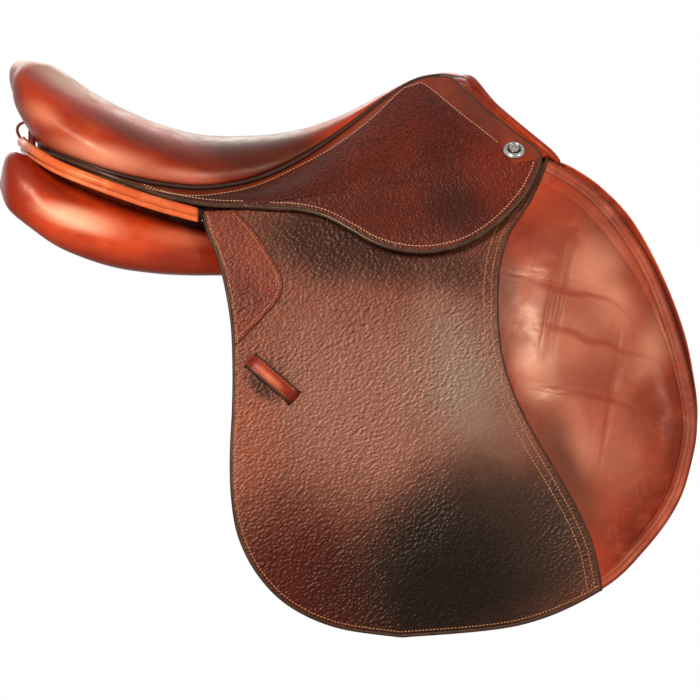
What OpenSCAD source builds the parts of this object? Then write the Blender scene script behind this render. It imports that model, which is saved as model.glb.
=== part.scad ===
// Jumping saddle, built as its separate pieces.
// +X points to the horse's head, +Y to the rider's left and +Z up, in millimetres.
// The origin is on the centre plane, at the height where the panels bear on the back.

/* [Seat] */
// Length from the back of the cantle to the front of the pommel
seat_l = 411; // [380:1:440]
// Width of the seat at its widest
seat_w = 252; // [232:1:272]
// Height of the cantle above the bearing line of the panels
cantle_h = 188; // [172:1:204]
// Thickness of the seat leather
seat_leather_t = 3; // [2:0.1:4]
// Diameter of the piping along the seat seam
welt_d = 4.4; // [3.6:0.1:5]

/* [Skirts] */
// Thickness of the skirt leather
skirt_t = 4; // [3:0.1:5]
// Space left between the flap and the skirt lobe
skirt_stand = 2.6; // [2:0.1:4]
// Diameter of the rolled pommel facing
facing_roll_d = 9; // [7:0.1:11]

/* [Flaps] */
// Breadth of the flap from its rear edge to the front of its border
flap_w = 446; // [420:1:470]
// Height of the flap from its front top corner to its lowest point
flap_h = 429; // [400:1:455]
// Place of the flap's rear top corner along the saddle
flap_rear_x = -89; // [-95:1:-80]
// Half width of the saddle at the flap's lowest point
flap_low_y = 175; // [165:1:190]
// Radius to which the flap is blocked
flap_r = 1200; // [1100:10:1400]
// Thickness of the grained flap leather
flap_t = 3; // [2.4:0.1:4]
// Thickness of the flap lining
lining_t = 2.7; // [2:0.1:3.5]
// Thickness of the rear patch
patch_t = 1.6; // [1.2:0.1:2.2]

/* [Knee pads] */
// Height of the knee pad's crown above the flap lining
pad_crown = 15; // [11:0.5:19]
// Depth of the quilting channels
quilt_d = 2.4; // [1.5:0.1:3.2]
// Pitch of the lengthwise quilting channels
quilt_pitch = 39; // [32:1:46]
// Pitch of the upright quilting channels
quilt_upright_pitch = 52; // [44:1:60]
// Flat border between the pad and the flap's front edge
pad_border = 9; // [7:0.5:12]

/* [Keepers] */
// Length of the keeper strap over the flap
keeper_l = 47; // [40:1:54]
// Width of the keeper strap
keeper_w = 15; // [12:0.5:18]
// Thickness of the keeper strap
keeper_t = 2.6; // [2:0.1:3.2]
// Height of the gap under the keeper
keeper_gap = 5.2; // [5:0.1:6.4]

/* [Panels] */
// Length of each panel
panel_l = 496; // [470:1:520]
// Overhang of the panels behind the origin
panel_back = 267; // [258:1:276]
// Distance of the panel's middle from the centre plane
panel_y = 77; // [72:1:82]
// Width of the panel cushion at the rear
panel_w = 90; // [80:1:98]
// Depth of the panel cushion at the rear
panel_d = 66; // [58:1:72]
// Thickness of the panel leather
panel_leather_t = 2; // [1.5:0.1:2.5]
// Height of the facing strip
strip_h = 12; // [10:0.5:13]
// Thickness of the facing strip
strip_t = 3.4; // [2.6:0.1:4]
// Diameter of the cantle loop
loop_d = 13; // [10:0.5:14]
// Width of the cantle loop
loop_w = 16; // [12:1:20]
// Thickness of the cantle loop
loop_t = 2.2; // [1.8:0.1:2.6]
// Thickness of the sweat flap
sweat_t = 3.4; // [2.6:0.1:4]

/* [Tree] */
// Width of the tree rails
rail_w = 32; // [26:1:36]
// Thickness of the tree rails
rail_t = 9; // [7:0.5:10]
// Width of the tree head along the saddle
head_w = 34; // [28:1:38]
// Thickness of the tree head
head_t = 9; // [7:0.5:10]
// Thickness of the steel plates
plate_t = 2; // [1.5:0.1:2.5]
// Width of the seat webs
web_w = 34; // [26:1:38]
// Thickness of the webs
web_t = 1.4; // [1:0.1:1.8]
// Diameter of the tree rivet heads
rivet_d = 9; // [7:0.5:10]
// Height of the tree rivet heads
rivet_h = 1.6; // [1.2:0.1:2]

/* [Stirrup bars] */
// Length of the bar from its mounting block to its hinge
bar_l = 66; // [58:1:72]
// Height of the bar's flat oval section
bar_h = 12; // [10:0.5:13]
// Thickness of the bar's flat oval section
bar_t = 7; // [6:0.5:8]
// Gap behind the bar for the stirrup leather
bar_gap = 6.5; // [6:0.1:8]
// Height of the bar above the bearing line
bar_z = 68; // [66:1:72]
// Place of the bar's mounting block along the saddle
bar_front_x = 150; // [146:1:154]
// Thickness of the bar's back plate
bar_plate_t = 3; // [2.5:0.1:4]
// Length of the safety catch from its pin
catch_l = 18; // [15:0.5:20]
// Thickness of the safety catch
catch_t = 3; // [2.6:0.1:3.4]
// Diameter of the catch pin
catch_pin_d = 2.6; // [2:0.1:3]

/* [Girth straps] */
// Width of a girth strap
girth_w = 25; // [22:0.5:28]
// Thickness of a girth strap
girth_t = 4; // [3.4:0.1:4.6]
// Length of a girth strap from its top edge to its tip
girth_l = 322; // [300:1:335]
// Diameter of the punched holes
girth_hole_d = 5.2; // [4.6:0.1:6]
// Pitch of the punched holes
girth_hole_pitch = 25; // [22:0.5:27]
// Count of the punched holes
girth_hole_count = 9; // [7:1:9]
// Distance from the strap's tip to its first hole
girth_hole_start = 42; // [36:1:50]
// Place of the rear strap along the saddle
girth_rear_x = 4; // [0:1:8]
// Distance between the two straps
girth_pitch = 72; // [68:1:78]

/* [Nails] */
// Diameter of the cup washer
cup_d = 20; // [18:0.5:22]
// Height of the cup washer
cup_h = 3.4; // [2.8:0.1:4]
// Diameter of the screw head
screw_d = 11; // [9:0.5:12]
// Diameter of the screw shank
shank_d = 4; // [3.5:0.1:4.5]
// Length of the screw shank
shank_l = 8; // [7:0.5:9]

/* [Clearances] */
// Clearance between pieces that lie on each other
lay_gap = 0.4; // [0.3:0.05:0.6]
// Clearance round a hinge pin
pin_gap = 0.05; // [0.03:0.01:0.1]
// Clearance at the sides of a moving piece
move_gap = 0.5; // [0.4:0.05:0.8]
// Free space on each side of the girth straps
strap_room = 2; // [1.8:0.1:2.5]
// Overrun of cutting bodies
cut = 1; // [0.5:0.1:2]

/* [Hidden] */

$fn = 48;
calf = "chocolate";
grain = "saddlebrown";
tan = "peru";
steel = "silver";
wood = "burlywood";
canvas = "khaki";
seat_box = [seat_l, seat_w / 2, cantle_h];

// Seam between the seat and the skirt from the cantle's middle to the pommel's middle
seam_shares = [[-0.574, 0, 0.618], [-0.572, 0.32, 0.613], [-0.563, 0.57, 0.596], [-0.534, 0.78, 0.574],
    [-0.482, 0.92, 0.533], [-0.405, 0.99, 0.474], [-0.306, 0.95, 0.426], [-0.208, 0.825, 0.41],
    [-0.101, 0.68, 0.45], [0, 0.555, 0.55], [0.098, 0.45, 0.694], [0.186, 0.365, 0.838],
    [0.252, 0.3, 0.922], [0.306, 0.24, 0.946], [0.344, 0.135, 0.936], [0.357, 0, 0.929]];
// Middle line of the seat at the same stations
spine_shares = [[-0.504, 0, 0.91], [-0.504, 0, 0.91], [-0.499, 0, 0.9], [-0.482, 0, 0.876],
    [-0.442, 0, 0.831], [-0.383, 0, 0.768], [-0.296, 0, 0.694], [-0.208, 0, 0.653],
    [-0.101, 0, 0.651], [0, 0, 0.68], [0.098, 0, 0.756], [0.186, 0, 0.857], [0.252, 0, 0.924],
    [0.302, 0, 0.95], [0.32, 0, 0.954], [0.326, 0, 0.954]];
// Outward and upward pull of the side wall, then of the top, at the same stations
pull_shares = [[0.28, 0.38, 0.24, 0.17], [0.28, 0.38, 0.26, 0.17], [0.25, 0.36, 0.3, 0.16],
    [0.17, 0.33, 0.34, 0.13], [0.1, 0.27, 0.38, 0.08], [0.06, 0.23, 0.38, 0.04],
    [0.04, 0.2, 0.36, 0.015], [0.03, 0.18, 0.31, 0], [0.02, 0.15, 0.25, 0], [0.015, 0.1, 0.2, 0],
    [0.01, 0.05, 0.17, 0], [0.004, 0.014, 0.14, 0], [0, 0.004, 0.12, 0], [0, 0.003, 0.09, 0],
    [0, 0.01, 0.05, 0], [0, 0.02, 0.03, 0]];
// Lower edge of the skirt behind the lobe
tail_shares = [[-0.578, 0.53, 0.575], [-0.537, 0.82, 0.547], [-0.482, 0.97, 0.503], [-0.405, 1.05, 0.44],
    [-0.306, 1.04, 0.357], [-0.208, 0.985, 0.315], [-0.124, 0.935, 0.3065]];
// Front edge of the skirt from the top of the pommel to the lobe
brow_shares = [[0.306, 0.25, 0.935], [0.355, 0.36, 0.893], [0.415, 0.5, 0.785], [0.479, 0.65, 0.665],
    [0.514, 0.735, 0.606], [0.526, 0.79, 0.55]];
// Lower edge of the skirt lobe from its rear end to its front end
lobe_shares = [[-0.124, 0.3065], [-0.05, 0.297], [0, 0.29], [0.058, 0.258], [0.114, 0.193], [0.162, 0.135],
    [0.223, 0.096], [0.293, 0.092], [0.366, 0.133], [0.43, 0.221], [0.487, 0.35], [0.516, 0.46],
    [0.526, 0.531]];
// Rear edge of the flap from its top corner to its lowest point
rear_shares = [[0, 0.108], [0.013, 0.155], [0.031, 0.199], [0.047, 0.258], [0.061, 0.344], [0.065, 0.435],
    [0.064, 0.525], [0.06, 0.613], [0.062, 0.706], [0.077, 0.792], [0.117, 0.872], [0.18, 0.936],
    [0.275, 0.98], [0.404, 1]];
// Front edge of the flap from its top corner to its lowest point
front_shares = [[0.7, 0], [0.744, 0.025], [0.794, 0.062], [0.852, 0.128], [0.912, 0.228], [0.955, 0.341],
    [0.984, 0.448], [1, 0.548], [0.989, 0.634], [0.955, 0.722], [0.89, 0.815], [0.807, 0.901],
    [0.643, 0.971], [0.404, 1]];
// Edge where the grained leather gives way to the knee pad
divide_shares = [[0.7, 0], [0.684, 0.043], [0.661, 0.093], [0.623, 0.153], [0.603, 0.22], [0.598, 0.297],
    [0.602, 0.381], [0.619, 0.458], [0.648, 0.532], [0.688, 0.607], [0.729, 0.679], [0.765, 0.749],
    [0.791, 0.816], [0.807, 0.901]];
// Front edge of the rear patch
patch_shares = [[0.072, 0.112], [0.1, 0.14], [0.123, 0.174], [0.144, 0.208], [0.161, 0.242], [0.165, 0.264],
    [0.159, 0.288], [0.141, 0.313], [0.111, 0.346], [0.082, 0.377], [0.068, 0.389]];
patch_low_share = 0.345;
// Sweat flap outline from its rear top corner round the bottom to its front top corner
sweat_shares = [[0.045, 0.215], [0.075, 0.32], [0.085, 0.45], [0.085, 0.6], [0.1, 0.73], [0.16, 0.85],
    [0.28, 0.92], [0.404, 0.94], [0.62, 0.92], [0.79, 0.85], [0.9, 0.76], [0.97, 0.65], [1.001, 0.545],
    [0.994, 0.43], [0.975, 0.335], [0.93, 0.225], [0.87, 0.125], [0.81, 0.058], [0.755, 0.018],
    [0.716, 0]];
// Top edge of the sweat flap, kept below the tree points and the girth webs
sweat_top_shares = [[0.716, 0], [0.7, 0.06], [0.69, 0.13], [0.66, 0.19], [0.6, 0.215], [0.3, 0.215]];
// Panel stations along the saddle, with middle, height, half width, half depth and tilt over a right angle
panel_shares = [[0, 0.97, 0.4, 0.09, 0.1, 0.08], [0.014, 0.99, 0.418, 0.58, 0.74, 0.08],
    [0.05, 1, 0.367, 0.8, 0.97, 0.08], [0.104, 1, 0.283, 0.93, 1, 0.1], [0.188, 1, 0.205, 1, 1, 0.11],
    [0.273, 1, 0.152, 0.98, 0.86, 0.13], [0.34, 0.96, 0.122, 0.9, 0.7, 0.16],
    [0.398, 0.91, 0.11, 0.84, 0.58, 0.2], [0.484, 0.88, 0.108, 0.82, 0.5, 0.27],
    [0.605, 0.9, 0.117, 0.84, 0.42, 0.38], [0.726, 0.91, 0.149, 0.88, 0.34, 0.5],
    [0.828, 0.91, 0.18, 0.9, 0.27, 0.58], [0.918, 0.91, 0.21, 0.92, 0.24, 0.64],
    [0.978, 0.91, 0.25, 0.8, 0.2, 0.66], [1, 0.91, 0.27, 0.3, 0.08, 0.66]];
// Middle line of the facing strip from its front end to the cantle's middle
strip_shares = [[-0.224, 0.985, 0.264], [-0.322, 1.045, 0.323], [-0.425, 1.07, 0.4], [-0.524, 0.98, 0.486],
    [-0.568, 0.83, 0.539], [-0.596, 0.58, 0.58], [-0.609, 0.28, 0.602], [-0.612, 0.06, 0.61]];
// Middle line of the tree head from the top to the point, across it as shares of its half width
head_shares = [[0.3, 0, 0.872], [0.307, 0.265, 0.852], [0.328, 0.478, 0.772], [0.362, 0.712, 0.62],
    [0.392, 0.852, 0.43], [0.402, 0.921, 0.25]];
// Middle line of the pommel facing from the top down
roll_shares = [[0.372, 0, 0.9], [0.386, 0.307, 0.88], [0.42, 0.586, 0.79], [0.466, 0.796, 0.7],
    [0.515, 0.963, 0.61], [0.552, 1.026, 0.543]];

rail_out_share = 0.55;
rail_rear_share = 0.32;
rail_front_share = 0.795;
web_out_share = 0.3;
foam_front_share = 0.68;
// Half width of the head's points over that of the seat
head_out_share = 0.717;
// Overhang of the panels' rear ends over the length of the seat
panel_rear_share = 0.65;
welt_front_share = 0.86;
brow_share = 0.79;
tail_share = 0.36;
seam_rear_share = 0.1;
nail_along_share = 0.922;
nail_down_share = 0.42;
squareness_share = 0.8;
pad_full_share = 0.45;
quilt_fall_deg = 16;
quilt_lean_deg = 12;
keeper_place_shares = [0.144, 0.46];
keeper_deg = 40;
tip_share = 0.35;
// Ends of the seat surface, kept just short of the middle so that the solid stays closed
end_share = 0.001;
foam_share = 0.8;
// Places of the tree rivets along the rails
rivet_place_shares = [0.2, 0.5, 0.8];
// Small step along a curve for its direction
step_share = 0.02;
pad_end_share = 0.04;
// Place on the flap's front edge where the grained leather meets it
divide_end_share = 11 / 13;
inside_share = 0.035;

// Counts of the steps along curves
fine = 40;
seat_steps = 24;
seat_rows = 8;
skirt_steps = 34;
skirt_rows = 6;
pad_rows = 26;
pad_cols = 14;
panel_steps = 26;
panel_sides = 14;
route_steps = 26;
rail_steps = 20;
head_steps = 12;

flap_low_z = flap_top_z() - flap_h;
flap_axis_y = flap_low_y - flap_r;
lining_r = flap_r - flap_t - lay_gap;
strap_r = lining_r - lining_t - strap_room;
sweat_r = strap_r - girth_t - strap_room;
lobe_r = flap_r + skirt_stand;
fold_rear = [lobe_shares[0].x * seat_l, lobe_shares[0].y * cantle_h];
fold_last = lobe_shares[len(lobe_shares) - 1];
fold_front = [fold_last.x * seat_l, fold_last.y * cantle_h];
bar_mid_y = flap_y(bar_z, flap_r) - bar_t;
bar_back_y = bar_mid_y - bar_t / 2 - bar_gap;
// The head is as wide as the seat allows and stays inside the bars
head_out_y = min(bar_back_y, head_out_share * seat_w / 2);
girth_top_z = flap_top_z() - sweat_shares[0].y * flap_h + girth_w;
strap_tip_z = girth_top_z - girth_l;
web_low_z = girth_top_z - girth_w + move_gap;

// Curves and surfaces
function flap_top_z() = lobe_shares[len(lobe_shares) - 1].y * cantle_h - lay_gap;
function mix(a, b, t) = a + (b - a) * t;
function by(v, s) = [for (i = [0 : len(v) - 1]) v[i] * s[i]];
function spline(p, t) = let (n = len(p) - 1, i = max(0, min(floor(t * n), n - 1)), u = t * n - i,
    a = p[max(i - 1, 0)], b = p[i], c = p[i + 1], d = p[min(i + 2, n)])
    (2 * b + (c - a) * u + (2 * a - 5 * b + 4 * c - d) * u * u
    + (3 * b - a - 3 * c + d) * u * u * u) / 2;
function unit(v) = v / norm(v);
function bezier(a, b, c, d, t) = a * pow(1 - t, 3) + 3 * b * t * pow(1 - t, 2)
    + 3 * c * t * t * (1 - t) + d * pow(t, 3);
// Half width of a round shell of radius r about the flap's axis, at a height
function flap_y(z, r) = flap_axis_y + sqrt(r * r - pow(z - flap_low_z, 2));
function flap_tilt(z, r) = asin((z - flap_low_z) / r);
// Place in the flap's own outline grid
function flap_xz(s) = [flap_rear_x + s.x * flap_w, flap_top_z() - s.y * flap_h];
function seat_xz(s) = [s.x * seat_l, s.y * cantle_h];
function seam(s) = by(spline(seam_shares, s), seat_box);
function spine(s) = by(spline(spine_shares, s), seat_box);
// Plan direction from the seat's middle line to its seam
function outward(s) = let (d = seam(s) - spine(s)) unit([d.x, d.y, 0]);
// Seat surface from the seam, t = 0, to the middle line, t = 1, sunk by a depth
function seat_pt(s, t, sink) = let (p = spline(pull_shares, s) * cantle_h, n = outward(s),
    a = seam(s) - n * sink, d = spine(s) - [0, 0, sink])
    bezier(a, a + n * p[0] + [0, 0, p[1]], d + n * p[2] + [0, 0, p[3]], d, t);
// Upper edge of the skirt along the seam and down the pommel
function skirt_top(u) = u < brow_share ? let (s = mix(seam_rear_share, welt_front_share, u / brow_share))
    seam(s) + outward(s) * lay_gap - [0, 0, welt_d + 3 * lay_gap]
    : by(spline(brow_shares, (u - brow_share) / (1 - brow_share)), seat_box) - [0, 0, welt_d + 3 * lay_gap];
function fold_y(z) = flap_y(z, lobe_r + skirt_t);
// Lower edge of the fixed skirt: the tail, then the straight fold of the lobe
function skirt_low(u) = u < tail_share ? by(spline(tail_shares, u / tail_share), seat_box)
    : let (w = (u - tail_share) / (1 - tail_share), a = by(tail_shares[len(tail_shares) - 1], seat_box),
    p = mix(fold_rear, fold_front, w), q = mix(fold_y(fold_rear.y), fold_y(fold_front.y), w))
    [p.x, mix(a.y, q, min(1, w / tail_share)), p.y + lay_gap];
// Skirt surface, bowed so that it meets the lobe without a kink
function skirt_pt(u, v, sink) = let (a = skirt_top(u), b = skirt_low(u), d = b - a,
    lean = tan(flap_tilt(b.z, lobe_r)), bow = max(0, d.y + lean * d.z) * min(1, u / tail_share),
    n = unit(mix(unit([0, -d.z, d.y + lay_gap]), [0, 1, 0], v)))
    a + d * v + [0, bow * v * (1 - v), 0] - n * sink;
function head_pt(t) = by(spline(head_shares, t), [seat_l, head_out_y, cantle_h]);
function roll_pt(t) = by(spline(roll_shares, t), [seat_l, head_out_y, cantle_h]);
function rail_s(t) = mix(rail_rear_share, rail_front_share, t);
function rail_pt(t) = let (p = seam(rail_s(t))) [p.x, p.y * rail_out_share, p.z - rail_t];
function ring_ends(p, i) = unit(p[min(i + 1, len(p) - 1)] - p[max(i - 1, 0)]);
// Rectangle of width w and thickness t round each point of a route, flat across y
function flat_rings(p, w, t) = [for (q = p) let (k = min(w, w / rail_w * abs(q.y)))
    [q + [0, -k, -t] / 2, q + [0, k, -t] / 2, q + [0, k, t] / 2, q + [0, -k, t] / 2]];
// Rectangle round each point of a route that runs across the saddle, w along x and t square to the route
function arch_rings(p, w, t, rise) = [for (i = [0 : len(p) - 1]) let (d = ring_ends(p, i),
    up = unit([0, -d.z, d.y]), q = p[i] + up * rise, a = [w, 0, 0] / 2, b = up * t / 2)
    [q + a - b, q - a - b, q - a + b, q + a + b]];
// Round section of diameter d along a route
function tube_rings(p, d, sides) = [for (i = [0 : len(p) - 1]) let (k = ring_ends(p, i),
    a = unit(cross([0, 0, 1], k)), b = cross(k, a))
    [for (j = [0 : sides - 1]) p[i] + (a * cos(360 * j / sides) + b * sin(360 * j / sides)) * d / 2]];
function both_ways(p) = concat([for (i = [len(p) - 1 : -1 : 1]) [p[i].x, -p[i].y, p[i].z]], p);

// Closed solid through rings of equal point count, capped at both ends
module loft(rings) {
    n = len(rings);
    m = len(rings[0]);
    points = concat([for (r = rings, q = r) q], [for (r = [rings[0], rings[n - 1]]) sum(r) / m]);
    sides = [for (i = [0 : n - 2], j = [0 : m - 1]) each [
        [i * m + j, i * m + (j + 1) % m, (i + 1) * m + j],
        [i * m + (j + 1) % m, (i + 1) * m + (j + 1) % m, (i + 1) * m + j]]];
    caps = [for (j = [0 : m - 1]) each [[n * m, (j + 1) % m, j],
        [n * m + 1, (n - 1) * m + j, (n - 1) * m + (j + 1) % m]]];
    solid(points, concat(sides, caps));
}
// Polyhedron with its faces turned outward
module solid(points, faces) {
    parts = [for (f = faces) points[f[0]] * cross(points[f[1]], points[f[2]])];
    outward = parts * [for (v = parts) 1] < 0;
    polyhedron(points, outward ? faces : [for (f = faces) [f[0], f[2], f[1]]]);
}
function sum(v, i = 0) = i == len(v) - 1 ? v[i] : v[i] + sum(v, i + 1);
// Closed solid between two grids of the same size
module slab(a, b) {
    n = len(a);
    m = len(a[0]);
    k = n * m;
    rim = concat([for (j = [0 : m - 2]) j], [for (i = [0 : n - 2]) i * m + m - 1],
        [for (j = [m - 1 : -1 : 1]) (n - 1) * m + j], [for (i = [n - 1 : -1 : 1]) i * m]);
    c = len(rim);
    faces = [for (i = [0 : n - 2], j = [0 : m - 2]) let (p = i * m + j, q = p + m) each [
        [p, p + 1, q], [p + 1, q + 1, q], [k + p, k + q, k + p + 1], [k + p + 1, k + q, k + q + 1]]];
    edge = [for (i = [0 : c - 1]) let (p = rim[i], q = rim[(i + 1) % c]) each [
        [p, k + p, q], [q, k + p, k + q]]];
    solid([for (g = [a, b], r = g, q = r) q], concat(faces, edge));
}
// Outline in the side view, cut from a round shell about the flap's axis
module on_shell(outline, inner, outer) {
    intersection() {
        translate([0, 2 * flap_low_y, 0]) rotate([90, 0, 0])
            linear_extrude(height = 2 * flap_low_y - cut) polygon(outline);
        shell(inner, outer);
    }
}
module shell(inner, outer) {
    translate([-flap_w, flap_axis_y, flap_low_z]) rotate([0, 90, 0]) difference() {
        cylinder(h = 3 * flap_w, r = outer, $fn = 9 * fine);
        translate([0, 0, -cut]) cylinder(h = 3 * flap_w + 2 * cut, r = inner, $fn = 9 * fine);
    }
}
// Body frame on the flap: x along the saddle, z outward
module at_flap(x, z, r) {
    translate([x, flap_y(z, r), z]) rotate([flap_tilt(z, r) - 90, 0, 0]) children();
}
module right() {
    mirror([0, 1, 0]) children();
}

// Tree
function head_line(n) = [for (i = [0 : n]) head_pt(i / head_steps)];
function rail_line(n) = [for (i = [0 : n]) rail_pt(i / rail_steps)];
module tree_head() {
    color(wood) loft(arch_rings(both_ways(head_line(head_steps)), head_w, head_t, 0));
}
module head_plate() {
    color(steel) loft(arch_rings(both_ways(head_line(head_steps - 5)), head_w - plate_t, plate_t,
        (head_t + plate_t) / 2 + lay_gap));
}
module gullet_plate() {
    color(steel) loft(arch_rings(both_ways(head_line(head_steps - 1)), head_w, plate_t,
        -(head_t + plate_t) / 2 - lay_gap));
}
module tree_rail_left() {
    color(wood) loft(flat_rings(rail_line(rail_steps), rail_w, rail_t));
}
module tree_rail_right() {
    right() tree_rail_left();
}
module tree_cantle() {
    steps = 14;
    a = rail_pt(0) - [move_gap, 0, 0];
    b = by(seam_shares[0], seat_box) + [rail_w, 0, -2 * rail_t];
    color(wood) loft([for (i = [-steps : steps]) let (c = cos(90 * i / steps), k = sin(90 * i / steps),
        q = [mix(a.x, b.x, c), a.y * k, mix(a.z, b.z, c)], n = [c, -k, 0] * rail_w / 2,
        up = [0, 0, rail_t / 2])
        [q - n - up, q + n - up, q + n + up, q - n + up]]);
}
module spring_steel_left() {
    drop = [0, 0, (rail_t + plate_t) / 2 + lay_gap];
    color(steel) loft(flat_rings([for (p = rail_line(rail_steps)) p - drop], rail_w / 2, plate_t));
}
module spring_steel_right() {
    right() spring_steel_left();
}
module tree_rivets() {
    color(steel) for (side = [1, -1], t = rivet_place_shares) {
        p = rail_pt(t);
        d = rail_pt(t + step_share) - rail_pt(t - step_share);
        drop = rail_t / 2 + plate_t + 2 * lay_gap;
        a = atan2(d.z, d.x);
        translate([p.x, side * p.y, p.z - drop]) rotate([180, -a, 0])
            cylinder(h = rivet_h, d1 = rivet_d, d2 = rivet_d / 2);
    }
}
module seat_webs() {
    color(canvas) for (side = [1, -1])
        loft(flat_rings([for (p = rail_line(rail_steps - 2))
            [p.x, side * p.y * web_out_share / rail_out_share, p.z + rail_t / 2 + web_t]], web_w, web_t));
}

// Seat
module seat_cover() {
    color(calf) slab(seat_grid(0), seat_grid(seat_leather_t));
}
function seat_side(sink, side) = [for (j = [0 : seat_rows]) [for (i = [0 : seat_steps])
    let (p = seat_pt(mix(end_share, 1 - end_share, i / seat_steps), j / seat_rows, sink))
    [p.x, side * p.y, p.z]]];
function seat_grid(sink) = let (a = seat_side(sink, 1), b = seat_side(sink, -1))
    concat(a, [for (j = [seat_rows - 1 : -1 : 0]) b[j]]);
module seat_foam() {
    steps = 16;
    arc = 10;
    sink = 2 * seat_leather_t;
    color(canvas) loft([for (i = [0 : steps]) let (s = mix(rail_rear_share / 2, foam_front_share, i / steps),
        a = seam(s), b = spine(s), w = a.y - sink, h = max(welt_d, b.z - a.z - sink))
        [for (j = [0 : arc]) let (k = 180 * j / arc, rise = h * foam_share * pow(sin(k), squareness_share))
        [mix(a.x, b.x, 1 / 2) + sink, -w * cos(k), a.z + welt_d / 2 + rise]]]);
}
module seat_welt_left() {
    route = [for (i = [0 : route_steps]) let (s = mix(seam_rear_share / 2, welt_front_share, i / route_steps))
        seam(s) + outward(s) * (lay_gap - welt_d / 2) - [0, 0, welt_d / 2 + 2 * lay_gap]];
    color(grain) loft(tube_rings(route, welt_d, 6));
}
module seat_welt_right() {
    right() seat_welt_left();
}
module pommel_facing() {
    route = [for (i = [0 : head_steps]) roll_pt(i / head_steps)];
    color(calf) loft(tube_rings(both_ways(route), facing_roll_d, 10));
}

// Leather that closes the front of the head, from the rolled facing in to the gullet
module pommel_front() {
    n = 10;
    rows = 3;
    color(calf) slab([for (j = [0 : rows]) front_row(j / rows, n, 0)],
        [for (j = [0 : rows]) front_row(j / rows, n, seat_leather_t)]);
}
function front_row(v, n, sink) = let (outer = [for (i = [0 : n]) roll_pt(i / n)],
    inner = [for (i = [0 : n]) head_pt(i / n)])
    both_ways([for (i = [0 : n]) let (a = arch_out(outer, i), b = arch_out(inner, i))
    mix(outer[i] - a * (facing_roll_d / 2 + 2 * lay_gap),
    inner[i] + [head_w / 2 + seat_leather_t + lay_gap, 0, 0] - b * (head_t / 2 + plate_t + lay_gap), v)
    - [sink, 0, 0]]);
function arch_out(p, i) = let (d = i == 0 ? [0, 1, 0] : ring_ends(p, i)) unit([0, -d.z, d.y]);

// Skirts
module skirt_left() {
    nail = nail_frame();
    color(grain) difference() {
        slab(skirt_grid(0), skirt_grid(skirt_t));
        on_nail(nail) translate([0, 0, -2 * skirt_t]) cylinder(h = 4 * skirt_t, d = shank_d + 2 * move_gap);
    }
}
function skirt_grid(sink) = [for (j = [0 : skirt_rows]) [for (i = [0 : skirt_steps])
    skirt_pt(i / skirt_steps, j / skirt_rows, sink)]];
module skirt_right() {
    right() skirt_left();
}
function lobe_outline() = concat([for (i = [1 : fine - 1]) seat_xz(spline(lobe_shares, i / fine))],
    [fold_front - [0, lay_gap], fold_rear - [0, lay_gap]]);
module skirt_lobe_left() {
    color(grain) on_shell(lobe_outline(), lobe_r, lobe_r + skirt_t);
}
module skirt_lobe_right() {
    right() skirt_lobe_left();
}
// Place and outward direction of the nail on the skirt
function nail_frame() = let (u = nail_along_share, v = nail_down_share, e = step_share / 2,
    p = skirt_pt(u, v, 0),
    n = unit(cross(skirt_pt(u, v - e, 0) - p, skirt_pt(u + e, v, 0) - p))) [p, n];
module on_nail(f) {
    translate(f[0]) rotate([0, acos(f[1].z), atan2(f[1].y, f[1].x)]) children();
}
module nail_cups() {
    color(steel) for (side = [0, 1]) mirror([0, side, 0]) on_nail(nail_frame())
        translate([0, 0, move_gap]) rotate_extrude() polygon([[shank_d / 2 + move_gap, 0], [cup_d / 2, 0],
            [cup_d / 2 - cup_h / 2, cup_h * squareness_share], [screw_d / 2 + cup_h / 2, cup_h],
            [screw_d / 2, cup_h / 2], [shank_d / 2 + move_gap, cup_h / 2]]);
}
module nail_screws() {
    seat_z = move_gap + cup_h / 2 + lay_gap;
    color(steel) for (side = [0, 1]) mirror([0, side, 0]) on_nail(nail_frame()) difference() {
        union() {
            translate([0, 0, seat_z])
                cylinder(h = cup_h / 2, d1 = screw_d - 2 * move_gap, d2 = screw_d * squareness_share);
            translate([0, 0, seat_z - shank_l]) cylinder(h = shank_l + lay_gap, d = shank_d);
        }
        for (a = [0, 90]) rotate([0, 0, a])
            translate([-screw_d / 4, -screw_d / 16, seat_z + cup_h / 4])
                cube([screw_d / 2, screw_d / 8, cup_h]);
    }
}

// Flaps
function edge_line(shares, from, to, n) = [for (i = [0 : n]) flap_xz(spline(shares, mix(from, to, i / n)))];
function backwards(p) = [for (i = [len(p) - 1 : -1 : 0]) p[i]];
// The grained leather ends at the divide, the lining runs on to the front edge
function flap_outline() = concat(edge_line(rear_shares, 0, 1, fine),
    backwards(edge_line(front_shares, divide_end_share, 1, fine / 4)),
    backwards(edge_line(divide_shares, 1 / fine, 1 - 1 / fine, fine)));
function lining_outline() = concat(edge_line(rear_shares, 0, 1, fine),
    backwards(edge_line(front_shares, 0, 1 - 1 / fine, fine)));
// Space cut from the top of the flap for the stirrup bar
module bar_notch() {
    translate([bar_front_x - bar_l - catch_l - bar_h, 0, bar_z - bar_h - 2 * strap_room])
        cube([bar_l + catch_l + 3 * bar_h, flap_low_y, 6 * bar_h]);
}
module above_fold() {
    d = fold_front - fold_rear;
    translate([fold_rear.x, 0, fold_rear.y - flap_t]) rotate([0, -atan2(d.y, d.x), 0])
        translate([-flap_w, 0, 0]) cube([2 * flap_w, flap_low_y, flap_h / 2]);
}
module flap_cuts() {
    bar_notch();
    above_fold();
    keeper_slots();
}
module flap_left() {
    color(grain) difference() {
        on_shell(flap_outline(), flap_r - flap_t, flap_r);
        flap_cuts();
    }
}
module flap_right() {
    right() flap_left();
}
module flap_lining_left() {
    color(calf) difference() {
        on_shell(lining_outline(), lining_r - lining_t, lining_r);
        flap_cuts();
    }
}
module flap_lining_right() {
    right() flap_lining_left();
}
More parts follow.
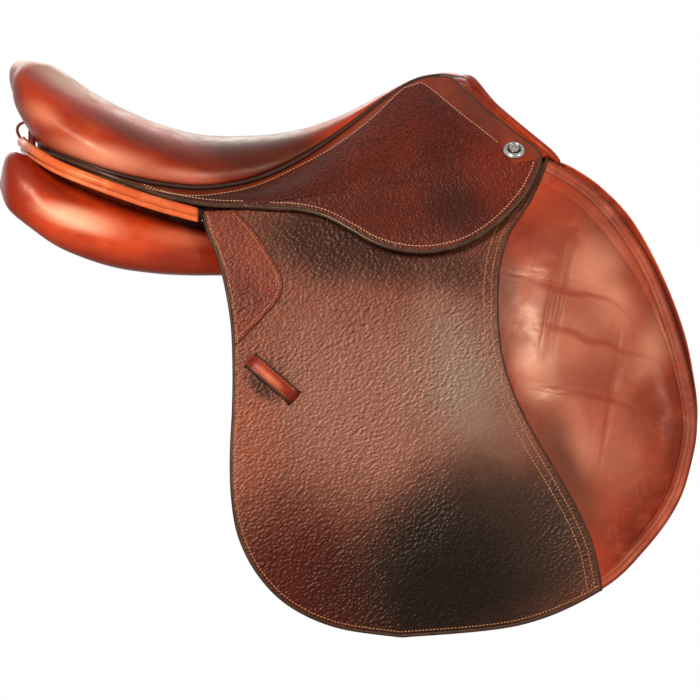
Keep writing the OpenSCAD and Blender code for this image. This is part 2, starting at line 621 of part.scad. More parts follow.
module flap_patch_left() {
    outline = concat(edge_line(rear_shares, 1 / fine, patch_low_share, fine / 2),
        backwards(edge_line(patch_shares, 0, 1, fine / 2)));
    color(grain) difference() {
        on_shell(outline, flap_r + lay_gap, flap_r + lay_gap + patch_t);
        above_fold();
    }
}
module flap_patch_right() {
    right() flap_patch_left();
}
// Height of the quilting channels at a place on the knee pad
function valley(q) = pow(1 - abs(sin(180 * q)), 3);
function quilt(x, z) = let (p = flap_xz(divide_shares[6]),
    a = ((x - p.x) * sin(quilt_fall_deg) + (z - p.y) * cos(quilt_fall_deg)) / quilt_pitch,
    b = ((x - p.x) * cos(quilt_lean_deg) - (z - p.y) * sin(quilt_lean_deg)) / quilt_upright_pitch)
    quilt_d * max(valley(a), valley(b + 1 / 4));
function pad_xz(u, v) = let (a = flap_xz(spline(divide_shares, v)),
    b = flap_xz(spline(front_shares, v * divide_end_share)), d = b - a, l = max(norm(d), pad_border))
    a + d * mix(move_gap / l, 1 - min(1 / 2, pad_border / l), u);
function pad_pt(u, v, out) = let (p = pad_xz(u, v),
    side = pow(max(0, 1 - pow(abs(2 * u - 1), 3)), pad_full_share),
    end = pow(max(0, 1 - pow(abs(2 * v - 1), 6)), pad_full_share),
    h = lay_gap + out * (flap_t / 2 + (pad_crown - flap_t) * side * end - quilt(p.x, p.y) * side * end))
    [p.x, flap_y(p.y, lining_r + h), p.y];
module knee_pad_left() {
    color(calf) slab(pad_grid(0), pad_grid(1));
}
function pad_grid(out) = [for (j = [0 : pad_rows]) [for (i = [0 : pad_cols])
    pad_pt(i / pad_cols, mix(pad_end_share, 1 - pad_end_share, j / pad_rows), out)]];
module knee_pad_right() {
    right() knee_pad_left();
}
// Keeper strap: a flat run with two legs through the slots of the flap
module on_keeper() {
    p = flap_xz(keeper_place_shares);
    at_flap(p.x, p.y, flap_r) rotate([0, 0, keeper_deg]) children();
}
module keeper_left() {
    leg = flap_t + lay_gap + lining_t + keeper_gap;
    color(tan) on_keeper() {
        translate([-keeper_l / 2, -keeper_w / 2, keeper_gap]) cube([keeper_l, keeper_w, keeper_t]);
        for (side = [0, 1]) mirror([side, 0, 0])
            translate([keeper_l / 2 - keeper_t, -keeper_w / 2, keeper_gap - leg])
                cube([keeper_t, keeper_w, leg]);
    }
}
module keeper_right() {
    right() keeper_left();
}
module keeper_slots() {
    on_keeper() for (side = [0, 1]) mirror([side, 0, 0])
        translate([keeper_l / 2 - keeper_t - move_gap, -keeper_w / 2 - move_gap, -4 * flap_t])
            cube([keeper_t + 2 * move_gap, keeper_w + 2 * move_gap, 8 * flap_t]);
}

// Panels
function panel_ring(t, thin) = let (r = spline(panel_shares, t), a = 90 * r[5], n = panel_sides,
    back = mix(panel_back, panel_rear_share * seat_l, pow(1 - r[0], 2)),
    c = [r[0] * panel_l - back, r[1] * panel_y, r[2] * cantle_h],
    least = panel_leather_t / 2,
    w = max(least, r[3] * panel_w / 2 - thin), d = max(least, r[4] * panel_d / 2 - thin))
    [for (j = [0 : n - 1]) let (k = 360 * j / n, p = w * sgn(cos(k)) * pow(abs(cos(k)), squareness_share),
    q = d * sgn(sin(k)) * pow(abs(sin(k)), squareness_share))
    c + [0, p * cos(a) + q * sin(a), q * cos(a) - p * sin(a)]];
function sgn(v) = v < 0 ? -1 : 1;
module panel_body(thin, from, to) {
    loft([for (i = [0 : panel_steps]) panel_ring(mix(from, to, i / panel_steps), thin)]);
}
module panel_cover_left() {
    color(calf) difference() {
        panel_body(0, 0, 1);
        panel_body(panel_leather_t, inside_share, 1 - inside_share);
    }
}
module panel_cover_right() {
    right() panel_cover_left();
}
module panel_filling_left() {
    color(canvas) panel_body(panel_leather_t + 2 * lay_gap, 2 * inside_share, 1 - 2 * inside_share);
}
module panel_filling_right() {
    right() panel_filling_left();
}
function sweat_outline() = concat([for (i = [0 : 2 * fine]) flap_xz(spline(sweat_shares, i / 2 / fine))],
    [for (i = [1 : fine / 2]) flap_xz(spline(sweat_top_shares, 2 * i / fine))]);
module sweat_flap_left() {
    color(calf) on_shell(sweat_outline(), sweat_r - sweat_t, sweat_r);
}
module sweat_flap_right() {
    right() sweat_flap_left();
}
module facing_strip_left() {
    n = 22;
    p = [for (i = [0 : n]) by(spline(strip_shares, i / n), seat_box)];
    color(tan) loft([for (i = [0 : n]) let (d = ring_ends(p, i), out = unit([-d.y, d.x, 0]) * strip_t / 2,
        up = [0, 0, strip_h / 2]) [p[i] - out - up, p[i] - out + up, p[i] + out + up, p[i] + out - up]]);
}
module facing_strip_right() {
    right() facing_strip_left();
}
module cantle_loop() {
    p = by(strip_shares[len(strip_shares) - 1], seat_box);
    color(tan) translate([p.x, 0, p.z + (strip_h + loop_d) / 2 + lay_gap]) rotate([90, 0, 0])
        linear_extrude(height = loop_w, center = true) difference() {
            circle(d = loop_d);
            circle(d = loop_d - 2 * loop_t);
        }
}

// Stirrup bars
module bar_section(l, h, t) {
    rotate([90, 0, 90]) linear_extrude(height = l) {
        square([t, h - t], center = true);
        for (s = [-1, 1]) translate([0, s * (h - t) / 2]) circle(d = t);
    }
}
module stirrup_bar_left() {
    rear = bar_front_x - bar_l;
    color(steel) difference() {
        union() {
            translate([rear, bar_mid_y, bar_z]) bar_section(bar_l + bar_h, bar_h, bar_t);
            translate([rear, bar_mid_y, bar_z]) rotate([90, 0, 0])
                cylinder(h = bar_t, d = bar_h - bar_t / 2, center = true);
            translate([bar_front_x, bar_back_y - bar_plate_t, bar_z - bar_h / 2])
                cube([bar_h, bar_gap + bar_plate_t + bar_t / 2, bar_h]);
            translate([rear + bar_h, bar_back_y - bar_plate_t, bar_z - bar_h])
                cube([bar_l + 2 * bar_h, bar_plate_t, 2 * bar_h]);
        }
        translate([rear, bar_mid_y, bar_z]) {
            translate([-bar_h, -catch_t / 2 - move_gap, -bar_h])
                cube([bar_h + bar_h / 2 + move_gap, catch_t + 2 * move_gap, 2 * bar_h]);
            rotate([90, 0, 0]) cylinder(h = 2 * bar_t, d = catch_pin_d + 2 * pin_gap, center = true);
        }
        for (x = bar_rivet_x()) translate([x, bar_back_y, bar_z])
            rotate([90, 0, 0]) cylinder(h = 4 * bar_plate_t, d = shank_d + 2 * pin_gap, center = true);
    }
}
function bar_rivet_x() = [bar_front_x - bar_l / 2, bar_front_x - bar_h / 2, bar_front_x + 3 * bar_h / 2];
module stirrup_bar_right() {
    right() stirrup_bar_left();
}
module bar_catch_left() {
    color(steel) translate([bar_front_x - bar_l, bar_mid_y, bar_z]) rotate([90, 0, 0]) difference() {
        linear_extrude(height = catch_t, center = true) {
            circle(d = bar_h - bar_t / 2);
            translate([-catch_l, -bar_t / 4]) square([catch_l, bar_t / 2]);
            translate([-catch_l, 0]) circle(d = bar_t);
        }
        cylinder(h = 2 * catch_t, d = catch_pin_d + 2 * pin_gap, center = true);
    }
}
module bar_catch_right() {
    right() bar_catch_left();
}
module catch_pin_left() {
    color(steel) translate([bar_front_x - bar_l, bar_mid_y, bar_z]) rotate([90, 0, 0])
        cylinder(h = bar_t, d = catch_pin_d, center = true);
}
module catch_pin_right() {
    right() catch_pin_left();
}
module bar_rivets() {
    color(steel) for (side = [0, 1], x = bar_rivet_x()) mirror([0, side, 0])
        translate([x, bar_back_y + lay_gap, bar_z]) rotate([90, 0, 0]) {
            cylinder(h = bar_plate_t + lay_gap, d = shank_d);
            translate([0, 0, -rivet_h]) cylinder(h = rivet_h, d1 = rivet_d / 2, d2 = rivet_d);
        }
}

// Girth straps and the webs that carry them
function strap_x(k) = girth_rear_x + k * girth_pitch;
module girth_strap(x) {
    w = girth_w / 2;
    z = girth_top_z;
    tip = girth_w * tip_share;
    outline = [[x - w, z], [x + w, z], [x + w, strap_tip_z + girth_w], [x + w - tip, strap_tip_z],
        [x - w + tip, strap_tip_z], [x - w, strap_tip_z + girth_w]];
    color(grain) difference() {
        on_shell(outline, strap_r - girth_t, strap_r);
        for (i = [0 : girth_hole_count - 1])
            at_flap(x, strap_tip_z + girth_hole_start + i * girth_hole_pitch, strap_r)
                translate([0, 0, -2 * girth_t]) cylinder(h = 4 * girth_t, d = girth_hole_d);
    }
}
module girth_strap_front_left() {
    girth_strap(strap_x(1));
}
module girth_strap_front_right() {
    right() girth_strap_front_left();
}
module girth_strap_rear_left() {
    girth_strap(strap_x(0));
}
module girth_strap_rear_right() {
    right() girth_strap_rear_left();
}
// Point of the rail's underside at a place along the saddle
function rail_at(x, a = 0, b = 1, n = 0) = let (m = (a + b) / 2) n > 16 ? rail_pt(m)
    : rail_pt(m).x > x ? rail_at(x, a, m, n + 1) : rail_at(x, m, b, n + 1);
function web_pt(x, t, sink) = let (r = strap_r - girth_t - move_gap - sink, q = rail_at(x),
    a = [x, flap_y(web_low_z, r), web_low_z], b = [x, flap_y(girth_top_z, r), girth_top_z],
    under = rail_t / 2 + 2 * lay_gap + sink,
    d = [x, q.y + rail_w / 2 - 2 * move_gap, q.z - under])
    t <= 1 / 4 ? [x, flap_y(mix(web_low_z, girth_top_z, 4 * t), r), mix(web_low_z, girth_top_z, 4 * t)]
    : let (u = (4 * t - 1) / 3) bezier(b, b + (b - a), d + [0, rail_w, -rail_w / 2], d, u);
module girth_web_left() {
    rows = 12;
    cols = 8;
    from = strap_x(0) - web_w / 2;
    to = strap_x(1) + web_w / 2;
    at = [for (i = [0 : cols]) mix(from, to, i / cols)];
    color(canvas) slab([for (x = at) [for (j = [0 : rows]) web_pt(x, j / rows, 0)]],
        [for (x = at) [for (j = [0 : rows]) web_pt(x, j / rows, web_t)]]);
}
module girth_web_right() {
    right() girth_web_left();
}

tree_head();
tree_rail_left();
tree_rail_right();
tree_cantle();
head_plate();
gullet_plate();
spring_steel_left();
spring_steel_right();
tree_rivets();
seat_webs();
seat_foam();
seat_cover();
seat_welt_left();
seat_welt_right();
pommel_facing();
pommel_front();
skirt_left();
skirt_right();
skirt_lobe_left();
skirt_lobe_right();
nail_cups();
nail_screws();
flap_left();
flap_right();
flap_lining_left();
flap_lining_right();
knee_pad_left();
knee_pad_right();
flap_patch_left();
flap_patch_right();
keeper_left();
keeper_right();
sweat_flap_left();
sweat_flap_right();
panel_cover_left();
panel_cover_right();
panel_filling_left();
panel_filling_right();
facing_strip_left();
facing_strip_right();
cantle_loop();
stirrup_bar_left();
stirrup_bar_right();
bar_catch_left();
bar_catch_right();
catch_pin_left();
catch_pin_right();
bar_rivets();
girth_web_left();
girth_web_right();
girth_strap_front_left();
girth_strap_front_right();
girth_strap_rear_left();
girth_strap_rear_right();
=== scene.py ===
"""Looks of the jumping saddle: leather, stitching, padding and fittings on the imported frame.

Sizes below are in millimetres in the part's own frame and become metres when a mesh is made.
The left half, +Y, is worked out and the right half is its mirror image.
"""
import math
import bpy
import numpy as np
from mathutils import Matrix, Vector, noise
from mathutils.bvhtree import BVHTree
from mathutils.geometry import delaunay_2d_cdt

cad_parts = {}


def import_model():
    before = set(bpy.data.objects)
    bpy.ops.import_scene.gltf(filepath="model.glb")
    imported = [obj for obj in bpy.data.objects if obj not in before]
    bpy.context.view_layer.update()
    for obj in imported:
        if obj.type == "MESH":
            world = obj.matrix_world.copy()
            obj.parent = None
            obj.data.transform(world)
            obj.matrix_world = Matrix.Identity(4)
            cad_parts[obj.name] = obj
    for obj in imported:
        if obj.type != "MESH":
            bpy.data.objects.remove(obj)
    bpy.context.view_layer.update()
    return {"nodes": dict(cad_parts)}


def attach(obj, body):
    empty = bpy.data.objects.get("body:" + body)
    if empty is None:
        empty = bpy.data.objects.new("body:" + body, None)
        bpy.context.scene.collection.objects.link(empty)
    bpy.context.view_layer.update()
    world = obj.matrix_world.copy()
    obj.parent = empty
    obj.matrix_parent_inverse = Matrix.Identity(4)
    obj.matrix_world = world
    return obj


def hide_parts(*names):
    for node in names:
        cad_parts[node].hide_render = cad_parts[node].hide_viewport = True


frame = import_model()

MM = 0.001
SIDES = (("left", 1.0), ("right", -1.0))
MIRROR, UP = np.array([1.0, -1.0, 1.0]), np.array([0, 0, 1.0])
# A way past the saddle's outside, and points that lie behind the faces of its pieces
FAR = 400
BELOW, WITHIN, PAD_INSIDE = (0, 0, -FAR), (0, -FAR, 0), (200, -FAR, -100)
# The photograph: millimetres to a pixel, and the pixel at the frame's origin
PIXEL, ORIGIN_PIXEL = 0.9, np.array([300.0, 270.0])

# Sizes shared with the part's source
SEAT = np.array([411.0, 126.0, 188.0])
WELT, SKIRT_T, STAND, LAY = 4.4, 4.0, 2.6, 0.4
FLAP_W, FLAP_H, FLAP_X = 446.0, 429.0, -89.0
FLAP_R, FLAP_LOW_Y, FLAP_T, LINING_T = 1200.0, 175.0, 3.0, 2.7
PANEL = np.array([496.0, 77.0, 188.0])
PANEL_W, PANEL_D = 90.0, 66.0
SWEAT_T, SWEAT_GAP, BROW_DROP = 3.4, 8.0, 1.0
TOP_Z_SHARE = 0.531
TOP_Z = TOP_Z_SHARE * SEAT[2] - LAY
LOW_Z = TOP_Z - FLAP_H
AXIS_Y = FLAP_LOW_Y - FLAP_R
LOBE_H = STAND + SKIRT_T
# Shares of the way along a skirt, along the seat's seam and along the flap's front edge
BROW, TAIL, SEAM0, SEAM1, END, DROP_SPAN = 0.79, 0.36, 0.1, 0.86, 11 / 13, (0.5, 0.74)

SEAM_SHARES = [
    (-0.574, 0, 0.618), (-0.572, 0.32, 0.613), (-0.563, 0.57, 0.596), (-0.534, 0.78, 0.574),
    (-0.482, 0.92, 0.533), (-0.405, 0.99, 0.474), (-0.306, 0.95, 0.426), (-0.208, 0.825, 0.41),
    (-0.101, 0.68, 0.45), (0, 0.555, 0.55), (0.098, 0.45, 0.694), (0.186, 0.365, 0.838),
    (0.252, 0.3, 0.922), (0.306, 0.24, 0.946), (0.344, 0.135, 0.936), (0.357, 0, 0.929)]
SPINE_SHARES = [
    (-0.504, 0, 0.91), (-0.504, 0, 0.91), (-0.499, 0, 0.9), (-0.482, 0, 0.876), (-0.442, 0, 0.831),
    (-0.383, 0, 0.768), (-0.296, 0, 0.694), (-0.208, 0, 0.653), (-0.101, 0, 0.651), (0, 0, 0.68),
    (0.098, 0, 0.756), (0.186, 0, 0.857), (0.252, 0, 0.924), (0.302, 0, 0.95), (0.32, 0, 0.954),
    (0.326, 0, 0.954)]
PULL_SHARES = [
    (0.28, 0.38, 0.24, 0.17), (0.28, 0.38, 0.26, 0.17), (0.25, 0.36, 0.3, 0.16), (0.17, 0.33, 0.34, 0.13),
    (0.1, 0.27, 0.38, 0.08), (0.06, 0.23, 0.38, 0.04), (0.04, 0.2, 0.36, 0.015), (0.03, 0.18, 0.31, 0),
    (0.02, 0.15, 0.25, 0), (0.015, 0.1, 0.2, 0), (0.01, 0.05, 0.17, 0), (0.004, 0.014, 0.14, 0),
    (0, 0.004, 0.12, 0), (0, 0.003, 0.09, 0), (0, 0.01, 0.05, 0), (0, 0.02, 0.03, 0)]
TAIL_SHARES = [
    (-0.578, 0.53, 0.575), (-0.537, 0.82, 0.547), (-0.482, 0.97, 0.503), (-0.405, 1.05, 0.44),
    (-0.306, 1.04, 0.357), (-0.208, 0.985, 0.315), (-0.124, 0.935, 0.3065)]
BROW_SHARES = [
    (0.301, 0.243, 0.944), (0.333, 0.31, 0.929), (0.357, 0.365, 0.881), (0.388, 0.435, 0.819),
    (0.416, 0.5, 0.762), (0.453, 0.59, 0.699), (0.488, 0.67, 0.637), (0.515, 0.735, 0.594),
    (0.5255, 0.775, 0.565), (0.526, 0.79, 0.5367)]
LOBE_SHARES = [
    (-0.124, 0.3065), (-0.05, 0.297), (0, 0.29), (0.058, 0.258), (0.114, 0.193), (0.162, 0.135),
    (0.223, 0.096), (0.293, 0.092), (0.366, 0.133), (0.43, 0.221), (0.487, 0.35), (0.516, 0.46),
    (0.526, 0.531)]
REAR_SHARES = [
    (0, 0.108), (0.013, 0.155), (0.031, 0.199), (0.047, 0.258), (0.061, 0.344), (0.065, 0.435),
    (0.064, 0.525), (0.06, 0.613), (0.062, 0.706), (0.077, 0.792), (0.117, 0.872), (0.18, 0.936),
    (0.275, 0.98), (0.404, 1)]
FRONT_SHARES = [
    (0.7, 0), (0.744, 0.025), (0.794, 0.062), (0.852, 0.128), (0.912, 0.228), (0.955, 0.341),
    (0.984, 0.448), (1, 0.548), (0.989, 0.634), (0.959, 0.7255), (0.894, 0.819), (0.807, 0.901),
    (0.643, 0.974), (0.404, 1)]
DIVIDE_SHARES = [
    (0.7, 0), (0.684, 0.043), (0.661, 0.093), (0.623, 0.153), (0.603, 0.22), (0.598, 0.297), (0.602, 0.381),
    (0.619, 0.458), (0.648, 0.532), (0.688, 0.607), (0.729, 0.679), (0.765, 0.749), (0.791, 0.816),
    (0.807, 0.901)]
PATCH_SHARES = [
    (0.066, 0.1035), (0.1, 0.14), (0.123, 0.174), (0.144, 0.208), (0.161, 0.242), (0.165, 0.264),
    (0.159, 0.288), (0.141, 0.313), (0.111, 0.346), (0.082, 0.377), (0.068, 0.389)]
SWEAT_SHARES = [
    (0.045, 0.215), (0.075, 0.32), (0.085, 0.45), (0.085, 0.6), (0.1, 0.73), (0.16, 0.85), (0.28, 0.92),
    (0.404, 0.94), (0.62, 0.92), (0.79, 0.85), (0.9, 0.768), (0.972, 0.66), (1.001, 0.548), (0.99, 0.43),
    (0.967, 0.335), (0.924, 0.225), (0.87, 0.125), (0.81, 0.058), (0.755, 0.018), (0.716, 0)]
SWEAT_TOP_SHARES = [
    (0.716, 0), (0.7, 0.06), (0.69, 0.13), (0.66, 0.19), (0.6, 0.215), (0.3, 0.215)]
PANEL_SHARES = [
    (-0.546, 0.97, 0.412, 0.09, 0.12, 0.08), (-0.531, 0.99, 0.43, 0.6, 0.78, 0.08),
    (-0.49, 1, 0.376, 0.82, 1.0, 0.08), (-0.434, 1, 0.283, 0.93, 1, 0.1), (-0.35, 1, 0.205, 1, 1, 0.11),
    (-0.265, 1, 0.152, 0.98, 0.86, 0.13), (-0.198, 0.96, 0.122, 0.9, 0.7, 0.16),
    (-0.14, 0.91, 0.11, 0.84, 0.58, 0.2), (-0.054, 0.88, 0.108, 0.82, 0.5, 0.27),
    (0.067, 0.9, 0.117, 0.84, 0.42, 0.38), (0.188, 0.91, 0.149, 0.88, 0.34, 0.5),
    (0.29, 0.91, 0.18, 0.9, 0.27, 0.58), (0.38, 0.91, 0.21, 0.92, 0.24, 0.64),
    (0.44, 0.91, 0.25, 0.8, 0.2, 0.66), (0.462, 0.91, 0.27, 0.3, 0.08, 0.66)]
STRIP_SHARES = [
    (-0.224, 0.985, 0.264), (-0.322, 1.045, 0.323), (-0.425, 1.07, 0.400), (-0.524, 0.98, 0.486),
    (-0.568, 0.83, 0.539), (-0.596, 0.58, 0.580), (-0.609, 0.28, 0.602), (-0.612, 0.06, 0.610)]
ROLL_SHARES = [
    (0.362, 0, 0.916), (0.379, 0.22, 0.9), (0.42, 0.42, 0.79), (0.466, 0.57, 0.7), (0.515, 0.69, 0.61),
    (0.552, 0.735, 0.543), (0.566, 0.745, 0.515)]
GUSSET_SHARES = [
    (-0.3, 0.98, 0.316), (-0.25, 0.955, 0.284), (-0.215, 0.895, 0.276), (-0.19, 0.83, 0.276),
    (-0.15, 0.8, 0.276), (-0.08, 0.78, 0.28)]


# Curves and surfaces, as in the part's source
def spline(p, t):
    p = np.asarray(p, float)
    n = len(p) - 1
    x = np.clip(np.asarray(t, float), 0, 1) * n
    i = np.clip(np.floor(x).astype(int), 0, n - 1)
    u = (x - i)[..., None]
    a, b, c, d = p[np.maximum(i - 1, 0)], p[i], p[i + 1], p[np.minimum(i + 2, n)]
    return (2 * b + (c - a) * u + (2 * a - 5 * b + 4 * c - d) * u ** 2 + (3 * b - a - 3 * c + d) * u ** 3) / 2


def unit(v):
    return v / np.maximum(np.linalg.norm(v, axis=-1, keepdims=True), 1e-9)


def mix(a, b, t):
    return a + (b - a) * t


def smooth(a, b, x):
    t = np.clip((np.asarray(x, float) - a) / (b - a), 0, 1)
    return t * t * (3 - 2 * t)


def flap_y(z, h=0.0):
    """Half width of the shell that lies h outside the flap's face, at a height."""
    r = FLAP_R + h
    return AXIS_Y + np.sqrt(r * r - (np.asarray(z, float) - LOW_Z) ** 2)


def on_flap(xz, h=0.0):
    """Points of the side view, placed h outside the flap's face."""
    return np.stack([xz[..., 0], flap_y(xz[..., 1], h), xz[..., 1]], -1)


def photo_xz(p):
    """Points of the side view at pixels of the photograph."""
    return (np.asarray(p, float) - ORIGIN_PIXEL) * [PIXEL, -PIXEL]


def flap_xz(s):
    s = np.asarray(s, float)
    return np.stack([FLAP_X + s[..., 0] * FLAP_W, TOP_Z - s[..., 1] * FLAP_H], -1)


def seat_xz(s):
    return np.asarray(s, float) * np.array([SEAT[0], SEAT[2]])


def seam(s):
    return spline(SEAM_SHARES, s) * SEAT


def spine(s):
    return spline(SPINE_SHARES, s) * SEAT


def outward(s):
    d = seam(s) - spine(s)
    d[..., 2] = 0
    return unit(d)


def seat_pt(s, t, sink=0.0):
    p = spline(PULL_SHARES, s) * SEAT[2]
    n = outward(s)
    a = seam(s) - n * sink
    d = spine(s) - UP * sink
    b = a + n * p[..., 0:1] + UP * p[..., 1:2]
    c = d + n * p[..., 2:3] + UP * p[..., 3:4]
    t = np.asarray(t, float)[..., None]
    return a * (1 - t) ** 3 + 3 * b * t * (1 - t) ** 2 + 3 * c * t * t * (1 - t) + d * t ** 3


def skirt_top(u):
    u = np.asarray(u, float)
    s = mix(SEAM0, SEAM1, np.minimum(u / BROW, 1))
    drop = np.stack([0 * u, 0 * u, mix(WELT + 3 * LAY, BROW_DROP, smooth(*DROP_SPAN, u))], -1)
    a = seam(s) + outward(s) * LAY - drop
    b = spline(BROW_SHARES, np.clip((u - BROW) / (1 - BROW), 0, 1)) * SEAT - drop
    return np.where((u < BROW)[..., None], a, b)


FOLD0 = np.array([LOBE_SHARES[0][0] * SEAT[0], LOBE_SHARES[0][1] * SEAT[2]])
FOLD1 = np.array([LOBE_SHARES[-1][0] * SEAT[0], LOBE_SHARES[-1][1] * SEAT[2]])


def skirt_low(u):
    u = np.asarray(u, float)
    a = spline(TAIL_SHARES, np.clip(u / TAIL, 0, 1)) * SEAT
    w = np.clip((u - TAIL) / (1 - TAIL), 0, 1)
    p = FOLD0 + (FOLD1 - FOLD0) * w[..., None]
    q = mix(flap_y(FOLD0[1], LOBE_H), flap_y(FOLD1[1], LOBE_H), w)
    end = TAIL_SHARES[-1][1] * SEAT[1]
    b = np.stack([p[..., 0], mix(end, q, np.minimum(1, w / TAIL)), p[..., 1]], -1)
    return np.where((u < TAIL)[..., None], a, b)


def skirt_pt(u, v, sink=0.0):
    u, v = np.asarray(u, float), np.asarray(v, float)
    a, b = skirt_top(u), skirt_low(u)
    d = b - a
    lean = np.tan(np.arcsin((b[..., 2] - LOW_Z) / (FLAP_R + STAND)))
    bow = np.maximum(0, d[..., 1] + lean * d[..., 2]) * np.minimum(1, u / TAIL)
    n = unit(np.stack([0 * u, -d[..., 2], d[..., 1] + LAY], -1))
    n = unit(mix(n, np.array([0, 1.0, 0]), v[..., None]))
    out = a + d * v[..., None] - n * sink
    out[..., 1] += bow * v * (1 - v)
    return out


# Routes and plane curves
def ways(p):
    """How far along a route each of its points is."""
    return np.r_[0, np.cumsum(np.linalg.norm(np.diff(p, axis=0), axis=1))]


def along(p, at, way):
    """A route's points, or vectors, at given ways along it."""
    return np.stack([np.interp(at, way, p[:, k]) for k in range(p.shape[1])], 1)


def resample(p, step):
    p = np.asarray(p, float)
    way = ways(p)
    return along(p, np.linspace(0, way[-1], max(2, int(round(way[-1] / step)) + 1)), way)


def curve(shares, a=0.0, b=1.0, n=400, place=flap_xz):
    return place(spline(shares, np.linspace(a, b, n)))


def normals(p):
    """The left-hand normals of an open plane curve."""
    t = unit(np.gradient(p, axis=0))
    return np.stack([-t[:, 1], t[:, 0]], 1)


def inset(p, d):
    """An open plane curve moved d to the left of its direction."""
    return p + normals(p) * d


def inside(p, poly):
    """Which points of the side view lie inside a polygon."""
    q = np.roll(poly, -1, 0)
    hit = np.zeros(len(p), int)
    for (ax, az), (bx, bz) in zip(poly, q):
        over = (az > p[:, 1]) != (bz > p[:, 1])
        x = ax + (p[:, 1] - az) * (bx - ax) / (bz - az if bz != az else 1e-9)
        hit += over & (p[:, 0] < x)
    return hit % 2 == 1


def wave(x, z, size, seed):
    """Smooth noise between about -1 and 1 over the side view."""
    flat = np.stack([np.ravel(x), np.ravel(z)], 1) / size
    return np.array([noise.noise((a, b, seed)) for a, b in flat]).reshape(np.shape(x))


def ripples(x, z, rows):
    """Noises of several heights, sizes and seeds, one on another."""
    return sum(k * wave(x, z, size, seed) for k, size, seed in rows)


# Meshes
def turned(f):
    """The faces seen from their other side."""
    return [q[::-1] for q in f]


def quads(n, m, wrap=False):
    """Faces of a grid of n rows and m columns, with the columns closed into rings or not."""
    cols = m if wrap else m - 1
    return [(i * m + j, i * m + (j + 1) % m, (i + 1) * m + (j + 1) % m, (i + 1) * m + j)
            for i in range(n - 1) for j in range(cols)]


def ends(n, k):
    """Faces that close the first and the last of n rings of k points."""
    return [tuple(range(k)), tuple(range((n - 1) * k, n * k))[::-1]]


def grid_rim(n, m):
    """Point numbers along the first and last column, then the first and last row, of a grid."""
    k = np.arange(n * m).reshape(n, m)
    return [line.tolist() for line in (k[:, 0], k[:, -1], k[0], k[-1])]


def wall(line, n):
    """Faces between a line of points and the points n further on."""
    return [(a, b, n + b, n + a) for a, b in zip(line, line[1:])]


def outward_quads(f, v, centre):
    """The faces turned so that the middle one looks away from a point."""
    v = np.asarray(v).reshape(-1, 3)
    q = f[len(f) // 2]
    a, b, c = v[q[0]], v[q[1]], v[q[2]]
    away = np.dot(np.cross(b - a, c - a), (a + b + c) / 3 - np.asarray(centre, float))
    return f if away > 0 else turned(f)


class Build:
    """Collects points and faces of a piece, or of the left one of a pair."""

    def __init__(self):
        self.v, self.f, self.m, self.n = [], [], [], 0

    def add(self, v, f, m=0):
        """Adds points and the faces between them, with a material number for all or a list of them."""
        v = np.asarray(v, float).reshape(-1, 3)
        self.v.append(v)
        self.faces([tuple(i + self.n for i in q) for q in f], m)
        self.n += len(v)
        return self

    def faces(self, f, m=0):
        """Adds faces between points that are there already."""
        self.f += f
        self.m += m if isinstance(m, list) else [m] * len(f)

    def loft(self, rings, centre):
        """Adds the skin over a stack of rings, turned away from a point."""
        n, k = rings.shape[:2]
        self.add(rings, outward_quads(quads(n, k, True), rings, centre))

    def slab(self, top, low, centre, m=0):
        """Adds both faces of a grid, the lower one in a material of its own, and returns the upper one."""
        f = outward_quads(quads(*top.shape[:2]), top, centre)
        self.add(top, f)
        self.add(low, turned(f), m)
        return f

    def points(self):
        return np.vstack(self.v)

    def tree(self):
        return BVHTree.FromPolygons([tuple(p) for p in self.points()], self.f)

    def object(self, name, mats, flip):
        v = self.points() * [1, flip, 1] * MM
        me = bpy.data.meshes.new(name)
        me.from_pydata([tuple(p) for p in v], [], self.f if flip > 0 else turned(self.f))
        for mat in mats:
            me.materials.append(mat)
        me.polygons.foreach_set("material_index", self.m)
        me.polygons.foreach_set("use_smooth", [True] * len(self.f))
        me.update()
        o = bpy.data.objects.new(name, me)
        bpy.context.collection.objects.link(o)
        return o


def put(build, name, body, mats, nodes=(), sides=True):
    """Makes the piece, or its left and right copies, on a body and in place of CAD nodes."""
    for word, flip in SIDES if sides else (("", 1.0),):
        o = build.object(f"{name}_{word}" if sides else name, [M[k] for k in mats.split()], flip)
        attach(o, body.format(word))
        for n in nodes:
            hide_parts(n.format(word))


# Rings of a tube's round end, as shares of its radius: way out and size
CAP_SHARES = [(0.98, 0.2), (0.7, 0.7)]


def tube(p, r, up, sides=12, squash=1.0):
    """Round or flattened tube along a route, with rounded ends and one side near a direction."""
    t = unit(np.gradient(p, axis=0))
    s = unit(np.cross(t, up))
    u = np.cross(s, t)
    r = np.broadcast_to(np.asarray(r, float), (len(p),))
    rings = [(p[0] - t[0] * r[0] * a, r[0] * b, s[0], u[0]) for a, b in CAP_SHARES]
    rings += list(zip(p, r, s, u))
    rings += [(p[-1] + t[-1] * r[-1] * a, r[-1] * b, s[-1], u[-1]) for a, b in CAP_SHARES[::-1]]
    k = np.linspace(0, 2 * np.pi, sides, endpoint=False)
    v = [c + np.outer(np.cos(k), a) * q + np.outer(np.sin(k), b) * q * squash for c, q, a, b in rings]
    return np.vstack(v), turned(quads(len(v), sides, True)) + ends(len(v), sides)


def level(h, ripple=None):
    """A height over the flap's face, even or with a ripple."""
    return lambda x, z: h + (ripple(x, z) if ripple else 0 * x)


# Loops round a cut edge, from its middle to the face and then to the back: side, turn in degrees and material
EDGE_TURNS = [
    (1, 0, 1), (1, 25, 1), (1, 50, 1), (1, 72, 1), (1, 90, 0), (-1, 30, 1), (-1, 60, 1), (-1, 90, 2)]
MIDDLE, FACE, BACK = 0, 4, 7
# Way between the rows of points that fill a sheet and their gap to its rim, as shares of their step
ROW_SHARE, GAP_SHARE = 0.87, 0.55


